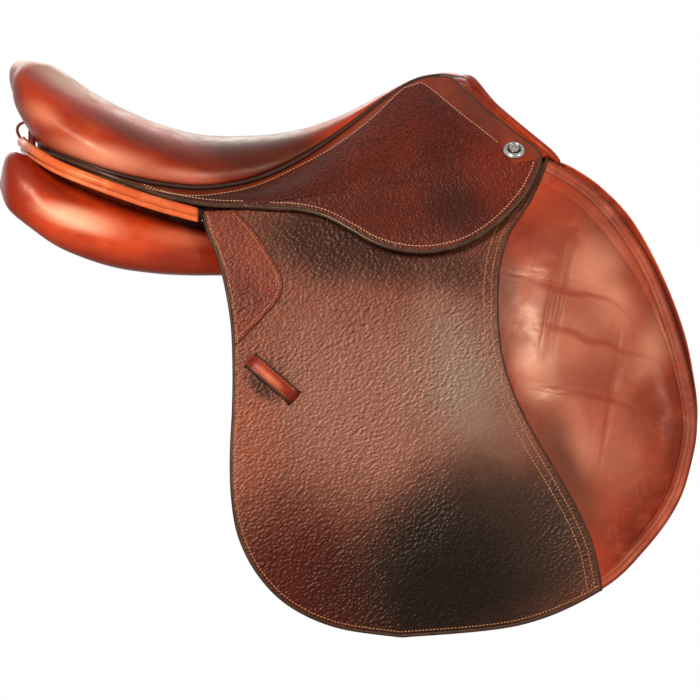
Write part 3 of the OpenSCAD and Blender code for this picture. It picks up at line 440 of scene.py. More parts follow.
def sheet(curves, face, back, edge, step, grid):
    """Leather cut to an outline in the side view, between two heights over the flap, with a round edge.

    Returns points, faces and material numbers: 0 face, 1 edge and 2 back."""
    p = np.vstack([resample(c, step)[:-1] for c in curves])
    q = np.roll(p, -1, 0)
    if np.sum(p[:, 0] * q[:, 1] - q[:, 0] * p[:, 1]) < 0:
        p = p[::-1]
    t = unit(np.roll(p, -1, 0) - np.roll(p, 1, 0))
    inward = np.stack([-t[:, 1], t[:, 0]], 1)
    n = len(p)

    def lift(xz, k):
        """Points between the back, where k is -1, and the face, where it is 1."""
        top, low = face(*xz.T), back(*xz.T)
        return on_flap(xz, (top + low) / 2 + (top - low) / 2 * k)

    loops, v, f, m = [], [], [], []
    for i, (side, turn, mat) in enumerate(EDGE_TURNS):
        a = math.radians(turn)
        loops.append(p + inward * edge * (1 - math.cos(a)))
        v.append(lift(loops[i], side * math.sin(a)))
        if i == MIDDLE:
            continue
        last = MIDDLE if i == FACE + 1 else i - 1
        band = [(last * n + j, last * n + (j + 1) % n, i * n + (j + 1) % n, i * n + j) for j in range(n)]
        f += turned(band) if side > 0 else band
        m += [mat] * n

    rim = loops[FACE]
    lo, hi = rim.min(0), rim.max(0)
    gx, gz = np.meshgrid(np.arange(lo[0], hi[0], grid), np.arange(lo[1], hi[1], grid * ROW_SHARE))
    gx = gx + (np.arange(gx.shape[0]) % 2)[:, None] * grid / 2
    g = np.stack([gx.ravel(), gz.ravel()], 1)
    near = np.array([np.min(np.hypot(*(rim - a).T)) for a in g])
    g = g[near > grid * GAP_SHARE]
    cdt = delaunay_2d_cdt([Vector(a) for a in np.vstack([rim, g])],
                          [(i, (i + 1) % n) for i in range(n)], [], 1, 1e-4)
    pts = np.array([tuple(a) for a in cdt[0]])
    where = {(round(x, 2), round(z, 2)): i for i, (x, z) in enumerate(rim)}
    on_rim = [where.get((round(x, 2), round(z, 2))) for x, z in pts]
    within = np.array([k is None for k in on_rim])
    count = (np.cumsum(within) - 1).tolist()
    new = pts[within]

    def number(i, loop, first):
        """Number of a point of the filling, on the face's or the back's loop or inside it."""
        return first + count[i] if on_rim[i] is None else loop * n + on_rim[i]

    base = len(EDGE_TURNS) * n
    for tri in cdt[2]:
        a, b, c = (pts[i] for i in tri[:3])
        turn = (b[0] - a[0]) * (c[1] - a[1]) - (b[1] - a[1]) * (c[0] - a[0])
        order = tri if turn < 0 else tri[::-1]
        f.append(tuple(number(i, FACE, base) for i in order))
        f.append(tuple(number(i, BACK, base + len(new)) for i in order[::-1]))
        m += [0, 2]
    return np.vstack(v + [lift(new, 1.0), lift(new, -1.0)]), f, m


def drape(tree, xz, lift):
    """Points and normals where a plane curve meets a surface, seen from the side."""
    p, n = [], []
    for x, z in xz:
        hit, nor, _, _ = tree.ray_cast(Vector((x, FAR, z)), Vector((0, -1, 0)))
        if hit is None:
            continue
        if nor.y < 0:
            nor = -nor
        p.append(np.array(hit) + np.array(nor) * lift)
        n.append(np.array(nor))
    return np.array(p), np.array(n)


# Rings of a stitch: shares of its length, width and height
STITCH_SHARES = [
    (-0.5, 0.35, -0.35), (-0.34, 0.9, 0.0), (0.0, 1.0, 0.12), (0.34, 0.9, 0.0), (0.5, 0.35, -0.35)]
STITCH_SIDES, STITCH_AIM, SEW_STEP = 6, 0.3, 1.2


def stitches(b, mat, p, n, pitch=3.2, length=2.5, width=0.95, height=0.8, slant=8.0):
    """A row of sewn stitches along a route on a surface with normals."""
    way = ways(p)
    count = max(1, int(way[-1] / pitch))
    at = (np.arange(count) + 0.5) * way[-1] / count
    q, w = along(p, at, way), unit(along(n, at, way))
    d = unit(along(p, at + STITCH_AIM, way) - along(p, at - STITCH_AIM, way))
    s = unit(np.cross(w, d))
    a = math.radians(slant)
    d, s = d * math.cos(a) + s * math.sin(a), s * math.cos(a) - d * math.sin(a)
    k = np.arange(STITCH_SIDES) * 2 * np.pi / STITCH_SIDES
    rings = len(STITCH_SHARES)
    f = quads(rings, STITCH_SIDES, True) + turned(ends(rings, STITCH_SIDES))
    for i in range(count):
        v = [q[i] + d[i] * length * x + w[i] * height * y + np.outer(np.cos(k), s[i]) * width / 2 * r
             + np.outer(np.sin(k), w[i]) * height / 2 * r for x, r, y in STITCH_SHARES]
        b.add(np.vstack(v), f, mat)


def sew(b, mat, tree, xz, lift=0.1, **sizes):
    """A row of stitches on a surface, along a plane curve."""
    stitches(b, mat, *drape(tree, resample(xz, SEW_STEP), lift), **sizes)


# Materials
def srgb(r, g, b):
    c = [x / 255 for x in (r, g, b)]
    return tuple(x / 12.92 if x <= 0.04045 else ((x + 0.055) / 1.055) ** 2.4 for x in c) + (1.0,)


class Graph:
    """The shader nodes of a material or of the world."""

    def __init__(self, owner):
        owner.use_nodes = True
        self.tree = owner.node_tree
        self.tree.nodes.clear()

    def fill(self, node, inputs):
        """Sets a node's inputs, or links them where a socket is given."""
        for key, value in inputs.items():
            if hasattr(value, "links"):
                self.tree.links.new(value, node.inputs[key])
            else:
                node.inputs[key].default_value = value

    def add(self, kind, inputs, **props):
        node = self.tree.nodes.new("ShaderNode" + kind)
        for key, value in props.items():
            setattr(node, key, value)
        self.fill(node, inputs)
        return node

    def get(self, kind, inputs, out=0, **props):
        """An output of a new node."""
        return self.add(kind, inputs, **props).outputs[out]

    def math(self, op, a, b):
        return self.get("Math", {0: a, 1: b}, operation=op)

    def times(self, a, b):
        return self.math("MULTIPLY", a, b)


class Mat(Graph):
    """A material on the object's own coordinates, in metres."""

    def __init__(self, name, rough, specular, metal=0.0, sheen=0.0, tint=(1, 1, 1)):
        self.mat = bpy.data.materials.new(name)
        super().__init__(self.mat)
        self.bsdf = self.add("BsdfPrincipled", {
            "Roughness": rough, "Specular IOR Level": specular, "Metallic": metal, "Sheen Weight": sheen,
            "Specular Tint": tint + (1.0,)})
        self.add("OutputMaterial", {0: self.bsdf.outputs[0]})
        self.at = self.get("TexCoord", {}, "Object")

    def drawn(self, scale, turn, kind="POINT"):
        """Coordinates drawn out along a direction of the side view."""
        inputs = {"Vector": self.at, "Scale": scale, "Rotation": (0, math.radians(turn), 0)}
        return self.get("Mapping", inputs, vector_type=kind)

    def noise(self, scale, detail=3.0, rough=0.55, at=None, out="Fac"):
        """Noise with so many waves to a metre."""
        inputs = {"Vector": at or self.at, "Scale": scale, "Detail": detail, "Roughness": rough}
        return self.get("TexNoise", inputs, out)

    def warp(self, scale, amount, at=None):
        """The coordinates pushed about by noise."""
        push = self.noise(scale, 2, 0.5, at, "Color")
        inputs = {0: push, 1: (amount,) * 3, 2: at or self.at}
        moved = self.get("VectorMath", inputs, operation="MULTIPLY_ADD")
        return self.get("VectorMath", {0: moved, 1: (amount / 2,) * 3}, operation="SUBTRACT")

    def cells(self, scale, at):
        return self.get("TexVoronoi", {"Vector": at, "Scale": scale}, "Distance", feature="SMOOTH_F1")

    def span(self, v, a, b, c=0.0, d=1.0):
        """A smooth step from c to d while v goes from a to b."""
        inputs = {"Value": v, "From Min": a, "From Max": b, "To Min": c, "To Max": d}
        return self.get("MapRange", inputs, "Result", interpolation_type="SMOOTHSTEP")

    def spot(self, x, z, rx, rz, turn, soft, at=None):
        """1 inside an ellipse in the side view, in millimetres, and 0 outside it."""
        through = 1e4
        place = self.get("Mapping", {
            "Vector": at or self.at, "Location": (x * MM, 0, z * MM), "Rotation": (0, -math.radians(turn), 0),
            "Scale": (rx * MM, through, rz * MM)}, vector_type="TEXTURE")
        far = self.get("VectorMath", {0: place}, "Value", operation="LENGTH")
        return self.span(far, soft, 1.0, 1.0, 0.0)

    def blend(self, f, a, b, how="MIX"):
        return self.get("Mix", {0: f, 6: a, 7: b}, 2, data_type="RGBA", blend_type=how)

    def cloud(self, c, field, low, high, k, colour):
        """A colour with another over it, by a strength, where a field is high."""
        return self.blend(self.times(self.span(field, low, high), k), c, colour)

    def stains_and_painted_light(self, c, spots, at=None):
        """A colour with spots of other colours over it, such as stains, wear, painted shade and painted
        highlights.
        """
        for x, z, rx, rz, turn, soft, k, colour in spots:
            c = self.blend(self.times(self.spot(x, z, rx, rz, turn, soft, at), k), c, srgb(*colour))
        return c

    def bump(self, height, mm, strength, under=None):
        node = self.add("Bump", {"Distance": mm * MM, "Strength": strength, "Height": height})
        if under:
            self.fill(node, {"Normal": under})
        return node.outputs[0]

    def finish(self, colour, rough, normal):
        self.fill(self.bsdf, {"Base Color": colour, "Roughness": rough, "Normal": normal})
        return self.mat


CALF_TINT, GRAIN_TINT, METAL_TINT = (1, 0.74, 0.54), (1, 0.78, 0.62), (1, 1, 1)
# Painted highlight and painted shade for the two sides of a pebble, and the step to the point above it
PEBBLE_LIT_SIDE, PEBBLE_SHADED_SIDE, PEBBLE_SHIFT = (2.3, 2.25, 2.2, 1), (0.32, 0.27, 0.25, 1), (0, 0, 0.7 * MM)


def calf(name, main, deep, pale, rough, specular, edit=None, mottle=0.5):
    """Smooth waxed calf leather: cloudy dye, patina, fine pores and light scratches."""
    m = Mat(name, rough, specular, tint=CALF_TINT)
    main, deep, pale = srgb(*main), srgb(*deep), srgb(*pale)
    c = m.blend(m.span(m.noise(11, 6, 0.62), 0.34, 0.68), main, deep)
    c = m.cloud(c, m.noise(34, 6, 0.66, m.warp(20, 0.02)), 0.5, 0.76, mottle, pale)
    c = m.cloud(c, m.noise(75, 5, 0.7), 0.52, 0.74, 0.35, deep)
    pores = m.noise(420, 3, 0.6)
    c = m.cloud(c, pores, 0.54, 0.72, 0.28, deep)
    scratches = m.noise(300, 2, 0.5, m.drawn((0.12, 1, 1), 24))
    c = m.cloud(c, scratches, 0.64, 0.74, 0.18, pale)
    # The piece's own spots: stains, wear, painted shade and painted highlights
    if edit:
        c = edit(m, c)
    normal = m.bump(m.noise(30, 4, 0.55), 1.2, 0.22, m.bump(pores, 0.1, 0.5))
    r = m.math("ADD", m.times(m.span(m.noise(40, 4, 0.6), 0.3, 0.7), 0.16), rough - 0.06)
    return m.finish(c, r, normal)


def grained(name, colour, rough, specular, size, deep, smooth_at=None):
    """Pebble-grained leather: domed cells of a size, in a colour given by a function."""
    m = Mat(name, rough, specular, tint=GRAIN_TINT)
    at = m.warp(110, 0.0016, m.drawn((1.45, 1, 1), -35, "TEXTURE"))
    near = m.cells(1 / MM / size, at)
    h = m.math("ADD", m.math("SUBTRACT", 1.0, m.times(near, 1.25)), m.times(m.noise(1000, 2), 0.22))
    strength = m.span(m.noise(24, 3, 0.5), 0.3, 0.7, 0.65, 1.0)
    if smooth_at:
        strength = m.times(strength, smooth_at(m))
    # Each pebble is painted lighter on its upper side and darker on its lower one: painted highlight and
    # painted shade of its relief
    above = m.get("VectorMath", {0: at, 1: PEBBLE_SHIFT}, operation="ADD")
    slope = m.math("SUBTRACT", m.cells(1 / MM / size, above), near)
    c = dye = colour(m)
    for steep, shade in ((0.3, PEBBLE_LIT_SIDE), (-0.3, PEBBLE_SHADED_SIDE)):
        c = m.cloud(c, slope, 0.0, steep, strength, m.blend(1.0, dye, shade, "MULTIPLY"))
    normal = m.bump(m.noise(18, 3, 0.5), 2.0, 0.2, m.bump(h, deep, strength))
    r = m.math("ADD", m.times(m.span(near, 0.4, 0.7), 0.2), rough)
    return m.finish(c, r, normal)


def plain(name, colour, dark, rough, specular, metal=0.0, scale=60.0, mm=0.15, sheen=0.0):
    """Edge paint, thread, cloth or metal with a little unevenness."""
    m = Mat(name, rough, specular, metal, sheen, METAL_TINT if metal else GRAIN_TINT)
    f = m.noise(scale, 4, 0.6)
    c = m.blend(m.span(f, 0.3, 0.7), srgb(*colour), srgb(*dark))
    r = m.math("ADD", m.times(f, 0.12), rough - 0.06)
    return m.finish(c, r, m.bump(m.noise(scale * 8, 3), mm, 0.5))


# Stains, wear, painted shade and painted highlights in the side view: centre, radii, turn, soft edge,
# strength and colour
# Lighter worn middle, redder rear edge, a painted sheen, red, grey and black stains low down, and painted
# shade under the skirt and its lobe
FLAP_STAINS_SHADE_AND_SHEEN = [
    (60, -120, 150, 120, 10, 0.2, 0.8, (128, 84, 68)), (-50, -150, 60, 100, 0, 0.1, 0.6, (132, 68, 48)),
    (148, -98, 72, 120, 18, 0.05, 0.88, (124, 98, 83)), (0, -290, 128, 132, 0, 0.25, 0.97, (64, 14, 5)),
    (176, -250, 150, 112, 0, 0.35, 0.92, (48, 34, 27)), (126, -284, 150, 126, 6, 0.2, 0.98, (10, 4, 2)),
    (40, 30, 130, 58, 0, 0.3, 0.93, (42, 16, 10)), (138, 2, 72, 42, 0, 0.1, 0.65, (40, 19, 13))]
KEEPER_SHADE = [
    (-27, -97, 34, 17, -41, 0.3, 0.5, (40, 18, 12)), (-35, -107, 25, 9, -41, 0.3, 0.75, (40, 18, 12))]
# A painted highlight along the keeper's middle, and darker colour at its two ends
KEEPER_HIGHLIGHT_AND_DARK_ENDS = [
    (-27, -97, 19, 5, -41, 0.1, 0.6, (206, 106, 74)), (-42, -84, 9, 11, -41, 0.2, 0.6, (88, 22, 12)),
    (-9, -113, 9, 11, -41, 0.2, 0.6, (88, 22, 12))]
SKIRT_STAINS = [
    (140, 58, 44, 42, 0, 0.1, 0.75, (38, 13, 9)), (-60, 66, 130, 36, 0, 0.2, 0.6, (50, 22, 15)),
    (185, 95, 50, 60, 0, 0.1, 0.55, (108, 34, 16))]
# Painted shade below the glare, at the waist, on the cantle's top and down its back edge; painted highlights
# low on the side and on the cantle, and painted glare on the cantle's top
SEAT_SHADE_AND_HIGHLIGHTS = [
    (-135, 116, 105, 14, -24, 0.1, 0.8, (88, 26, 12)), (-25, 104, 122, 46, -8, 0.3, 0.94, (62, 17, 8)),
    (-225, 172, 60, 22, -10, 0.1, 0.35, (104, 32, 15)), (-180, 103, 76, 17, -14, 0.1, 0.6, (230, 146, 112)),
    (-258, 150, 14, 50, 12, 0.1, 0.75, (84, 24, 12)), (-232, 140, 30, 15, -30, 0.0, 0.4, (236, 152, 114)),
    (-212, 170, 46, 10, -27, 0.0, 0.5, (232, 196, 168)), (-106, 85, 46, 10, -8, 0.1, 0.5, (196, 116, 90))]
# Painted shade where the panel goes under the flap, at its rear end and on its upper rear, and painted
# highlights along its bulge
PANEL_SHADE_AND_HIGHLIGHTS = [
    (-100, 30, 60, 46, 0, 0.1, 0.35, (112, 24, 8)), (-262, 72, 40, 60, 0, 0.1, 0.85, (132, 28, 8)),
    (-226, 76, 54, 15, -30, 0.1, 0.7, (108, 20, 6)), (-206, 48, 48, 14, -18, 0.1, 0.65, (250, 190, 154)),
    (-112, 30, 46, 12, -8, 0.1, 0.35, (226, 128, 90)), (-190, 44, 52, 16, -12, 0.1, 0.5, (240, 150, 108))]
PAD_MIDDLE = [(262, -60, 88, 155, -8, 0.2, 0.75, (146, 78, 57))]
PAD_SHADE = [
    (240, -178, 34, 110, 25, 0.1, 0.85, (82, 42, 28)), (184, -20, 22, 80, 0, 0.1, 0.85, (88, 36, 24))]
# Painted shade in sunk places and along the quilt lines, and painted highlights on the puffs
SUNK_SHADE, PUFF_HIGHLIGHT, QUILT_LINE_SHADE = (112, 40, 26), (196, 124, 97), (122, 40, 24)
# A brighter orange top and a paler low patch, then the painted shade and painted highlights
PAD_TONE_SHADE_AND_HIGHLIGHTS = [
    (232, 56, 70, 46, -35, 0.0, 0.25, (180, 74, 42)), (284, -165, 52, 66, 10, 0.0, 0.5, (168, 96, 72)),
    (262, -100, 34, 36, 0, 0.0, 0.6, SUNK_SHADE), (312, -108, 24, 32, 0, 0.0, 0.6, SUNK_SHADE),
    (222, -30, 16, 22, 0, 0.0, 0.6, SUNK_SHADE), (262, 4, 36, 46, -25, 0.05, 0.75, PUFF_HIGHLIGHT),
    (280, -28, 32, 30, -30, 0.05, 0.7, PUFF_HIGHLIGHT), (212, -94, 26, 40, 15, 0.05, 0.65, PUFF_HIGHLIGHT),
    (240, -62, 28, 34, 0, 0.05, 0.3, PUFF_HIGHLIGHT), (316, -66, 28, 44, -20, 0.05, 0.6, PUFF_HIGHLIGHT),
    (252, -160, 20, 46, 20, 0.05, 0.35, PUFF_HIGHLIGHT), (243, -22, 72, 5, -19, 0.1, 0.65, QUILT_LINE_SHADE),
    (253, -58, 86, 5, -15, 0.1, 0.65, QUILT_LINE_SHADE), (270, -118, 80, 5, -12, 0.1, 0.65, QUILT_LINE_SHADE),
    (234, -24, 5, 86, -12, 0.1, 0.55, QUILT_LINE_SHADE), (275, -122, 5, 80, -12, 0.1, 0.55, QUILT_LINE_SHADE)]


def flap_colour(m):
    c = m.blend(m.span(m.noise(14, 5, 0.6), 0.3, 0.72), srgb(112, 62, 46), srgb(92, 46, 33))
    c = m.stains_and_painted_light(c, FLAP_STAINS_SHADE_AND_SHEEN, m.warp(80, 0.016, m.warp(12, 0.04)))
    c = m.stains_and_painted_light(c, KEEPER_SHADE)
    return m.cloud(c, m.noise(46, 5, 0.65), 0.52, 0.75, 0.22, m.blend(0.6, c, srgb(40, 16, 11)))


def flap_smooth(m):
    """Where the flap's grain is worn or dressed flat."""
    worn = m.spot(175, -170, 75, 130, 10, 0.1)
    dressed = m.spot(165, -290, 130, 100, 0, 0.2)
    return m.times(m.span(worn, 0.0, 1.0, 1.0, 0.2), m.span(dressed, 0.0, 1.0, 1.0, 0.42))


def skirt_colour(m):
    c = m.blend(m.span(m.noise(14, 4, 0.6), 0.3, 0.72), srgb(82, 25, 13), srgb(64, 18, 10))
    return m.stains_and_painted_light(c, SKIRT_STAINS)


def patch_colour(m):
    return m.blend(m.span(m.noise(20, 4), 0.3, 0.7), srgb(110, 45, 29), srgb(88, 36, 25))


def seat_edit(m, c):
    return m.stains_and_painted_light(c, SEAT_SHADE_AND_HIGHLIGHTS)


def panel_edit(m, c):
    # Painted shade all round a lit band along the panel's middle
    lit = m.spot(-178, 52, 118, 50, -11, 0.45)
    c = m.blend(m.span(lit, 0.0, 1.0, 0.8, 0.0), c, srgb(112, 24, 8))
    return m.stains_and_painted_light(c, PANEL_SHADE_AND_HIGHLIGHTS)


def keeper_edit(m, c):
    return m.stains_and_painted_light(c, KEEPER_HIGHLIGHT_AND_DARK_ENDS)


def pad_edit(m, c):
    at = m.warp(16, 0.03)
    c = m.stains_and_painted_light(m.stains_and_painted_light(c, PAD_MIDDLE, at), PAD_SHADE)
    return m.stains_and_painted_light(c, PAD_TONE_SHADE_AND_HIGHLIGHTS, at)


# Smooth leathers: main, deep and pale colour, roughness, gloss, and spots of wear, painted shade and painted
# highlights
CALVES = {
    "seat": ((168, 50, 21), (124, 33, 14), (194, 82, 44), 0.3, 0.26, seat_edit),
    "panel": ((192, 58, 18), (146, 36, 12), (214, 92, 42), 0.32, 0.32, panel_edit),
    "pad": ((154, 49, 25), (110, 32, 17), (176, 84, 56), 0.32, 0.28, pad_edit, 0.6),
    "pad_rim": ((152, 56, 32), (106, 36, 21), (178, 88, 60), 0.42, 0.2),
    "front": ((150, 46, 20), (108, 30, 14), (186, 84, 48), 0.34, 0.2),
    "facing": ((228, 110, 56), (194, 78, 38), (242, 150, 98), 0.32, 0.24),
    "keeper": ((150, 42, 22), (104, 26, 14), (178, 84, 58), 0.34, 0.22, keeper_edit),
    "lining": ((150, 60, 32), (120, 42, 22), (170, 84, 52), 0.45, 0.2),
    "strap": ((110, 50, 30), (84, 36, 22), (134, 74, 50), 0.5, 0.25),
    "band": ((126, 44, 22), (88, 28, 14), (150, 66, 40), 0.34, 0.24)}
THREAD = {"specular": 0.2, "scale": 900, "mm": 0.1}
M = {key: calf(key + "_calf", *row) for key, row in CALVES.items()}
M |= {
    "flap": grained("flap_grain", flap_colour, 0.3, 0.14, 2.25, 0.75, flap_smooth),
    "skirt": grained("skirt_grain", skirt_colour, 0.3, 0.16, 1.8, 0.58),
    "patch": grained("patch_grain", patch_colour, 0.34, 0.18, 2.2, 0.5),
    "bead": plain("bead_edge", (72, 45, 32), (44, 25, 18), 0.28, 0.3),
    "edge": plain("cut_edge", (66, 40, 28), (40, 24, 17), 0.4, 0.24),
    "welt": plain("welt_leather", (54, 28, 20), (34, 18, 13), 0.4, 0.24),
    "thread": plain("linen_thread", (188, 136, 94), (150, 98, 62), 0.7, **THREAD),
    "thread_brown": plain("brown_thread", (138, 82, 56), (104, 56, 36), 0.7, **THREAD),
    "thread_pale": plain("waxed_thread", (210, 172, 134), (178, 136, 102), 0.65, **THREAD),
    "slot": plain("slot_shade", (20, 13, 11), (12, 8, 7), 0.8, 0.1),
    "chrome": plain("polished_chrome", (176, 172, 166), (140, 136, 130), 0.16, 0.5, 1.0, 200, 0.02),
    "steel": plain("brushed_steel_bar", (190, 190, 188), (160, 160, 160), 0.28, 0.5, 1.0, 300, 0.05),
    "wood": plain("laminated_beech", (176, 132, 84), (142, 100, 60), 0.5, 0.4, scale=30, mm=0.2),
    "canvas": plain("woven_canvas", (196, 178, 140), (158, 140, 104), 0.9, 0.2, scale=700, mm=0.3, sheen=0.2)}


# Seat and its welts
SEAT_T, SEAT_ROWS, SEAT_COLS, SEAT_FILL = 3.0, 34, 190, 0.9
CORNER, CORNER_R, CORNER_BACK, CORNER_UP = np.array([-262.0, 182.0]), 26.0, 2.0, 4.5
# How far the cantle's sides go back, and the spans of rows, x and y over which that begins
CANTLE_BACK, BACK_ROWS, BACK_X, BACK_Y = 17.0, (-0.12, 0.24), (-150, -225), (25, 80)
WELT_OUT, WELT_ROWS, WELT_SPAN = 0.2, 320, (0.004, 0.996)


def seat():
    s, t = np.linspace(0, 1, SEAT_COLS), np.linspace(0, 1, SEAT_ROWS)
    left, low = (np.stack([seat_pt(s, np.full(SEAT_COLS, k), sink) for k in t]) for sink in (0.0, SEAT_T))
    # The cantle's corners are squarer than the solid's
    free = smooth(*BACK_ROWS, t)[:, None] * smooth(*BACK_X, left[..., 0]) * smooth(*BACK_Y, left[..., 1])
    corner = np.exp(-((left[..., [0, 2]] - CORNER) ** 2).sum(-1) / CORNER_R ** 2)
    push = np.stack([-CANTLE_BACK * free - CORNER_BACK * corner, 0 * free, CORNER_UP * corner], -1)
    top, under = (np.concatenate([p + push, (p + push)[-2::-1] * MIRROR]) for p in (left, low))
    b = Build()
    b.slab(top, under, BELOW)
    n, m = top.shape[:2]
    first, last = grid_rim(n, m)[2:]
    b.faces(turned(wall(first, n * m)) + wall(last, n * m))
    put(b, "seat_top", "saddle", "seat", ("seat_cover", "seat_foam"), False)

    s = np.linspace(*WELT_SPAN, WELT_ROWS)
    p = seam(s) + outward(s) * WELT_OUT + [0, 0, -0.5 * WELT - LAY]
    b = Build().add(*tube(p, WELT / 2, UP, 14))
    put(b, "seat_piping", "saddle", "welt", ("seat_welt_{}",))


# Skirts: the fixed part on the tree and the lobe that lifts
SKIRT_ROWS, SKIRT_COLS, BEAD_ROWS = 380, 80, 160
SKIRT_BEAD_R, BROW_BEAD_SINK, TAIL_BEAD_SINK = 2.1, 1.6, 1.8
LOBE_BEAD_R, LOBE_BEAD_SINK, LOBE_EDGE = 2.2, 1.7, 1.3
TAIL_SEAM_IN, LOBE_SEAM_IN, FOLD_OVER = 4.6, 5.0, 1.4
LOBE_CURL, CURL_SPAN, LOBE_RIPPLE, RIPPLE_SPAN = 4.5, (4, 60), 0.5, (4, 30)
# Seam under the plain band, in pixels of the photograph, and the rest of the band's outline
SEAM_PIXELS = [
    (138, 186), (174, 194), (206, 195), (254, 186), (300, 165), (334, 146), (369, 120), (389, 101),
    (403, 88), (413, 84), (422, 82), (433, 89), (446, 100), (464, 115), (481, 128), (498, 142)]
BAND_REAR = [(-300, 150), (-240, 96), (-195, 83)]
BAND_FRONT = [(196, 92), (260, 92), (260, 240), (-300, 240)]


def skirts():
    edge, bead, thread, band = 1, 2, 3, 4
    u, v = np.meshgrid(np.linspace(0, 1, SKIRT_ROWS), np.linspace(0, 1, SKIRT_COLS), indexing="ij")
    top = skirt_pt(u, v)
    b = Build()
    f = b.slab(top, skirt_pt(u, v, SKIRT_T), WITHIN, edge)
    for line, outer in zip(grid_rim(*u.shape), (True, False, False, True)):
        e = wall(line, u.size)
        b.faces(e if outer else turned(e), edge)
    line = spline(photo_xz(SEAM_PIXELS), np.linspace(0, 1, 300))
    mid = top[..., [0, 2]].reshape(-1, 2)[np.array(f)].mean(1)
    for i in np.nonzero(inside(mid, np.vstack([BAND_REAR, line, BAND_FRONT])))[0]:
        b.m[i] = band
    tree = b.tree()
    brow = skirt_pt(np.linspace(0.7, 1, BEAD_ROWS), np.zeros(BEAD_ROWS), BROW_BEAD_SINK)
    tail = skirt_pt(np.linspace(0, TAIL, BEAD_ROWS), np.ones(BEAD_ROWS), TAIL_BEAD_SINK)
    for p in (brow, tail):
        b.add(*tube(p, SKIRT_BEAD_R, (0, 1, 0.3)), bead)
    sew(b, thread, tree, line, pitch=3.1, length=2.4, width=0.8, height=0.6)
    line = skirt_pt(np.linspace(0.01, TAIL, 200), np.ones(200))[:, [0, 2]] + [0, TAIL_SEAM_IN]
    sew(b, thread, tree, line, pitch=3.1, length=2.3)
    put(b, "skirt_leather", "saddle", "skirt edge bead thread_pale band", ("skirt_{}",))


def fold_z(x):
    """Height of the line that a skirt's lobe folds on."""
    return FOLD0[1] + (FOLD1[1] - FOLD0[1]) * (np.asarray(x, float) - FOLD0[0]) / (FOLD1[0] - FOLD0[0])


def lobe_curl(x, z):
    """How far a lobe's leather curls away from the flap below its fold."""
    below = fold_z(x) - z
    ripple = LOBE_RIPPLE * wave(x, z, 50, 5.0) * smooth(*RIPPLE_SPAN, below)
    return LOBE_CURL * smooth(*CURL_SPAN, below) + ripple


def lobes():
    bead, thread = 3, 4
    lobe = curve(LOBE_SHARES, place=seat_xz)
    fold = np.stack([FOLD1, FOLD0]) + [0, FOLD_OVER]
    b = Build().add(*sheet([lobe, fold], level(LOBE_H, lobe_curl), level(STAND, lobe_curl),
                           edge=LOBE_EDGE, step=2.0, grid=5.0))
    tree = b.tree()
    line = on_flap(lobe, LOBE_H - LOBE_BEAD_SINK + lobe_curl(*lobe.T))[2:-2]
    b.add(*tube(resample(line, 2.5), LOBE_BEAD_R, (0, 1, 0.2)), bead)
    sew(b, thread, tree, inset(lobe, LOBE_SEAM_IN)[6:-10], pitch=3.1, length=2.3)
    put(b, "skirt_lobe_leather", "skirt_lobe_{}", "skirt edge edge bead thread_pale",
        ("skirt_lobe_{}",))


# Flap, its stitched edge and rear patch
NOTCH = np.array([(174.0, 52.0), (54.0, 52.0)])
TOP_FRONT_IN, TOP_REAR_IN = 1.5, 1.0
FLAP_EDGE, FLAP_RIPPLES = 1.4, [(0.5, 70, 3.0), (0.25, 28, 7.0)]
EDGE_BEAD_IN, EDGE_BEAD_SINK, EDGE_BEAD_R, EDGE_SEAM_IN = 0.9, 1.3, 1.75, 4.4
DIVIDE_BEAD_IN, DIVIDE_BEAD_SINK, DIVIDE_BEAD_R = 0.6, 1.1, 1.4
# Seams along the divide: way in, and points left out at the end
DIVIDE_SEAMS = ((5.6, 6), (12.4, 10))
PATCH_FACE, PATCH_BACK, PATCH_EDGE, PATCH_IN, PATCH_DROP, PATCH_SEAM_IN = 2.0, 0.3, 0.8, 1.6, 2.0, 3.6


def top_line(front):
    """Top edge of the flap and its lining, round the stirrup bar, from the front to the rear corner."""
    rear = flap_xz(REAR_SHARES[0])
    a, b, c = [(x, fold_z(x) - FLAP_T - LAY) for x in (FOLD1[0] - TOP_FRONT_IN, *NOTCH[:, 0])]
    low = FOLD0[1] - 2 * LAY
    return np.array([front, a, b, *NOTCH, c, (FOLD0[0], low), (rear[0] - TOP_REAR_IN, low), rear])


def flap_ripple(x, z):
    return ripples(x, z, FLAP_RIPPLES)


